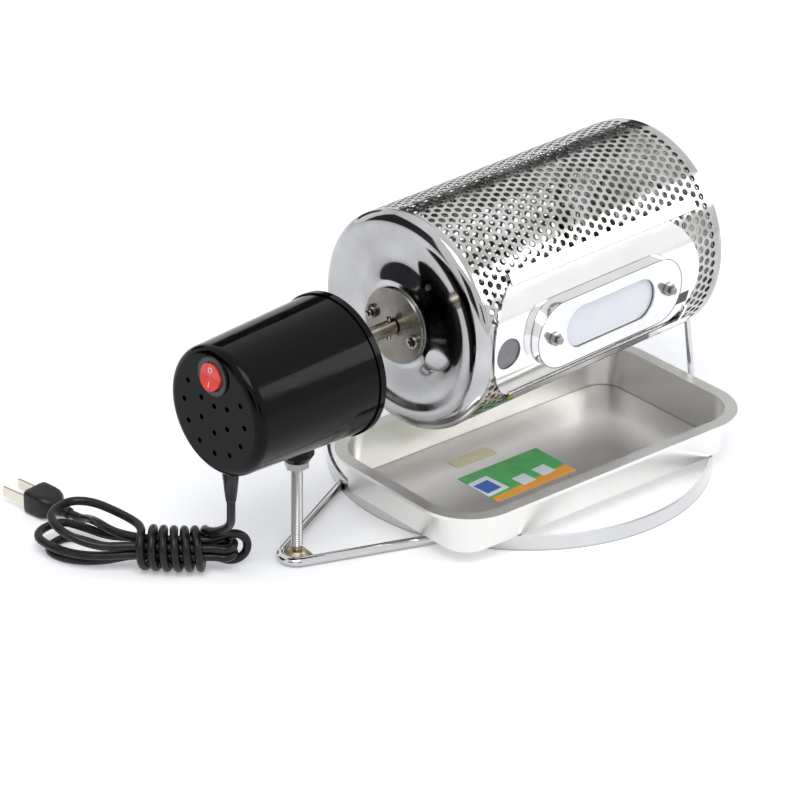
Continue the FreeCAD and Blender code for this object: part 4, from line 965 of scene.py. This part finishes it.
def build_edge_lines():
    """Dark lines of painted shadow, with some cut-edge burr, along the free edges of both rails and the rims
    of the bezel.
    """
    low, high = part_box("upper_rail")
    shell_low, shell_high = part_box("drum_shell")
    axis_z = (shell_low.z + shell_high.z) / 2
    for name, level in (("upper_rail_edge", low.z), ("lower_rail_edge", 2 * axis_z - low.z)):
        line = edge_line(name, [(low.x, low.y, level), (high.x, low.y, level)], False)
        piece(name, line, edge_burr_and_shadow, "drum")
    low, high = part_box("window_bezel")
    radius = (high.z - low.z) / 2
    rim = []
    for middle, start in ((high.x - radius, -90.0), (low.x + radius, 90.0)):
        for step in range(RIM_STEPS + 1):
            turn = math.radians(start + 180.0 * step / RIM_STEPS)
            rim.append((middle + radius * math.cos(turn), low.y, axis_z + radius * math.sin(turn)))
    piece("bezel_rim", edge_line("bezel_rim", rim, True), edge_burr_and_shadow, "door")


PATCH_SIDES = 36
PATCH_RINGS = 5
PATCH_LIFT = 0.15
PATCH_ROOM = 0.05


def build_finger_patch():
    """Plain sheet that shows through the door's finger hole, coloured dark grey as painted shade."""
    low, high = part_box("drum_shell")
    radius = (high.z - low.z) / 2 + PATCH_LIFT * MM
    axis_z = (low.z + high.z) / 2
    sides = PATCH_SIDES
    flat = [(0.0, 0.0)]
    for ring in range(1, PATCH_RINGS + 1):
        flat += ring_of((0.0, 0.0), (FINGER_RADIUS - PATCH_ROOM) * ring / PATCH_RINGS, sides)
    points = []
    for x, y in flat:
        turn = math.asin((FINGER_SPOT[1] + y) * MM / radius)
        points.append((low.x + (FINGER_SPOT[0] + x) * MM, -radius * math.cos(turn),
                       axis_z + radius * math.sin(turn)))
    faces = [(0, 1 + side, 1 + (side + 1) % sides) for side in range(sides)]
    for ring in range(PATCH_RINGS - 1):
        for side in range(sides):
            here, after = 1 + ring * sides, 1 + (ring + 1) * sides
            faces.append((here + side, after + side, after + (side + 1) % sides, here + (side + 1) % sides))
    piece("finger_patch", mesh_of("finger_patch", points, faces), finger_hole_shade, "drum")


MARK_LINE = 0.22
MARK_RING = 1.5
MARK_BAR = 1.7
MARK_STEPS = 24
MARK_LIFT = 0.1


def build_marks():
    """The generic on and off marks: a ring above and a bar below, on the rocker's two faces."""
    low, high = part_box("switch_rocker")
    centre_z = (low.z + high.z) / 2
    reach = (high.z - low.z) / 2
    ring = ring_of((0.0, 0.0), MARK_RING, MARK_STEPS)
    bar = [(0.0, -MARK_BAR), (0.0, MARK_BAR)]
    side = Vector((0.0, 1.0, 0.0))
    for name, spots, lift in (("mark_off", ring, 0.5), ("mark_on", bar, -0.5)):
        origin = Vector((low.x - 0.02, 0.0, centre_z + reach * lift))
        found = NODES["switch_rocker"].ray_cast(origin, Vector((1.0, 0.0, 0.0)))
        place, normal = found[1:3]
        up = normal.cross(side).normalized()
        curve = bpy.data.curves.new(name, "CURVE")
        curve.dimensions = "3D"
        curve.bevel_depth = MARK_LINE * MM
        line = curve.splines.new("POLY")
        line.points.add(len(spots) - 1)
        line.use_cyclic_u = spots is ring
        for point, (across, rise) in zip(line.points, spots):
            point.co = (*(place + (normal * MARK_LIFT + side * across + up * rise) * MM), 1.0)
        piece(name, curve, switch_mark, "rocker")


# Light and stage

LIGHT_TARGET = (0.0, 0.0, 0.1)


def area_light(name, place, size, energy):
    data = bpy.data.lights.new(name, "AREA")
    data.shape = "RECTANGLE"
    data.size, data.size_y = size
    data.energy = energy
    lamp = bpy.data.objects.new(name, data)
    lamp.location = place
    lamp.rotation_euler = (Vector(LIGHT_TARGET) - Vector(place)).to_track_quat("-Z", "Y").to_euler()
    bpy.context.scene.collection.objects.link(lamp)


def seen_rays(tree):
    """1 for rays that the camera, a mirror or a glass sends out."""
    path = tree.nodes.new("ShaderNodeLightPath")
    total = None
    for name in ("Is Camera Ray", "Is Glossy Ray", "Is Transmission Ray"):
        if total is None:
            total = path.outputs[name]
            continue
        step = tree.nodes.new("ShaderNodeMath")
        step.operation = "MAXIMUM"
        tree.links.new(total, step.inputs[0])
        tree.links.new(path.outputs[name], step.inputs[1])
        total = step.outputs[0]
    return total


# Studio boards: name, first and last angle in degrees, foot and top in metres

STUDIO_REACH = 4.5
BOARD_STEPS = 8
STUDIO_BOARDS = (
    ("board_back_right", 28.0, 60.0, 1.0, 2.5),
    ("board_back", 76.0, 98.0, 0.3, 2.0),
    ("board_back_left", 118.0, 160.0, 0.0, 2.6),
    ("board_left", 182.0, 206.0, 0.0, 1.8),
    ("board_front_left", 232.0, 250.0, 0.4, 1.7),
    ("board_front_right", 330.0, 352.0, 0.3, 2.2),
)


def dark_board(name, start, end, low, high):
    """A dark curved board far outside the picture, for the metal to mirror. Angles run from +X."""
    look = Look(name, (0.03, 0.032, 0.036), 0.8)
    look.colour(look.tint(look.noise(1.0), (0.02, 0.022, 0.027), (0.045, 0.047, 0.052)))
    points = []
    for step in range(BOARD_STEPS + 1):
        turn = math.radians(start + (end - start) * step / BOARD_STEPS)
        for level in (low, high):
            points.append((STUDIO_REACH * math.cos(turn), STUDIO_REACH * math.sin(turn), level))
    faces = [(2 * i, 2 * i + 2, 2 * i + 3, 2 * i + 1) for i in range(BOARD_STEPS)]
    mesh = mesh_of(name, points, faces)
    mesh.materials.append(look.material)
    board = bpy.data.objects.new(name, mesh)
    bpy.context.scene.collection.objects.link(board)
    board.visible_camera = False


WORLD_LEVEL = 0.7
FLOOR_HALF = 6.0
FLOOR_GLOW = 0.28


def build_world():
    """Even studio light, and plain white wherever the camera, a mirror or a glass looks past the floor."""
    world = bpy.data.worlds.new("studio")
    bpy.context.scene.world = world
    world.use_nodes = True
    tree = world.node_tree
    plain = tree.nodes["Background"]
    plain.inputs["Color"].default_value = (0.9, 0.93, 1.0, 1.0)
    plain.inputs["Strength"].default_value = WORLD_LEVEL
    white = tree.nodes.new("ShaderNodeBackground")
    white.inputs["Color"].default_value = (1.0, 1.0, 1.0, 1.0)
    white.inputs["Strength"].default_value = 1.0
    blend = tree.nodes.new("ShaderNodeMixShader")
    tree.links.new(seen_rays(tree), blend.inputs["Fac"])
    tree.links.new(plain.outputs[0], blend.inputs[1])
    tree.links.new(white.outputs[0], blend.inputs[2])
    tree.links.new(blend.outputs[0], tree.nodes["World Output"].inputs["Surface"])


def build_floor():
    """A pale floor that keeps its shadows and shows white where nothing shades it."""
    half = FLOOR_HALF
    corners = [(-half, -half, 0), (half, -half, 0), (half, half, 0), (-half, half, 0)]
    floor = bpy.data.objects.new("studio_floor", mesh_of("studio_floor", corners, [(0, 1, 2, 3)]))
    bpy.context.scene.collection.objects.link(floor)
    look = Look("studio_floor", (0.88, 0.88, 0.88), 0.9)
    look.colour(look.tint(look.noise(0.8), (0.87, 0.87, 0.87), (0.89, 0.89, 0.89)))
    glow = look.node("Emission")
    glow.inputs["Strength"].default_value = FLOOR_GLOW
    total = look.node("AddShader")
    only = look.node("MixShader")
    clear = look.node("Emission")
    clear.inputs["Strength"].default_value = 0.0
    look.link(seen_rays(look.tree), only.inputs["Fac"])
    look.link(clear.outputs[0], only.inputs[1])
    look.link(glow.outputs[0], only.inputs[2])
    look.link(look.shader.outputs[0], total.inputs[0])
    look.link(only.outputs[0], total.inputs[1])
    look.link(total.outputs[0], look.tree.nodes["Material Output"].inputs["Surface"])
    floor.data.materials.append(look.material)


def build_stage():
    build_world()
    build_floor()
    area_light("key", (-0.9, -0.7, 1.9), (1.2, 1.2), 22.0)
    area_light("fill", (1.4, -1.3, 1.1), (1.2, 0.8), 9.0)
    for name, start, end, low, high in STUDIO_BOARDS:
        dark_board(name, start, end, low, high)


bpy.context.scene.view_settings.view_transform = "Standard"
build_camera()
build_stage()
dress_nodes()
piece("drum_sheet", shell_mesh(), shell_steel, "drum", ("drum_shell",))
build_cord()
build_post()
build_screw_domes()
build_marks()
build_cap_face()
build_finger_patch()
build_edge_lines()
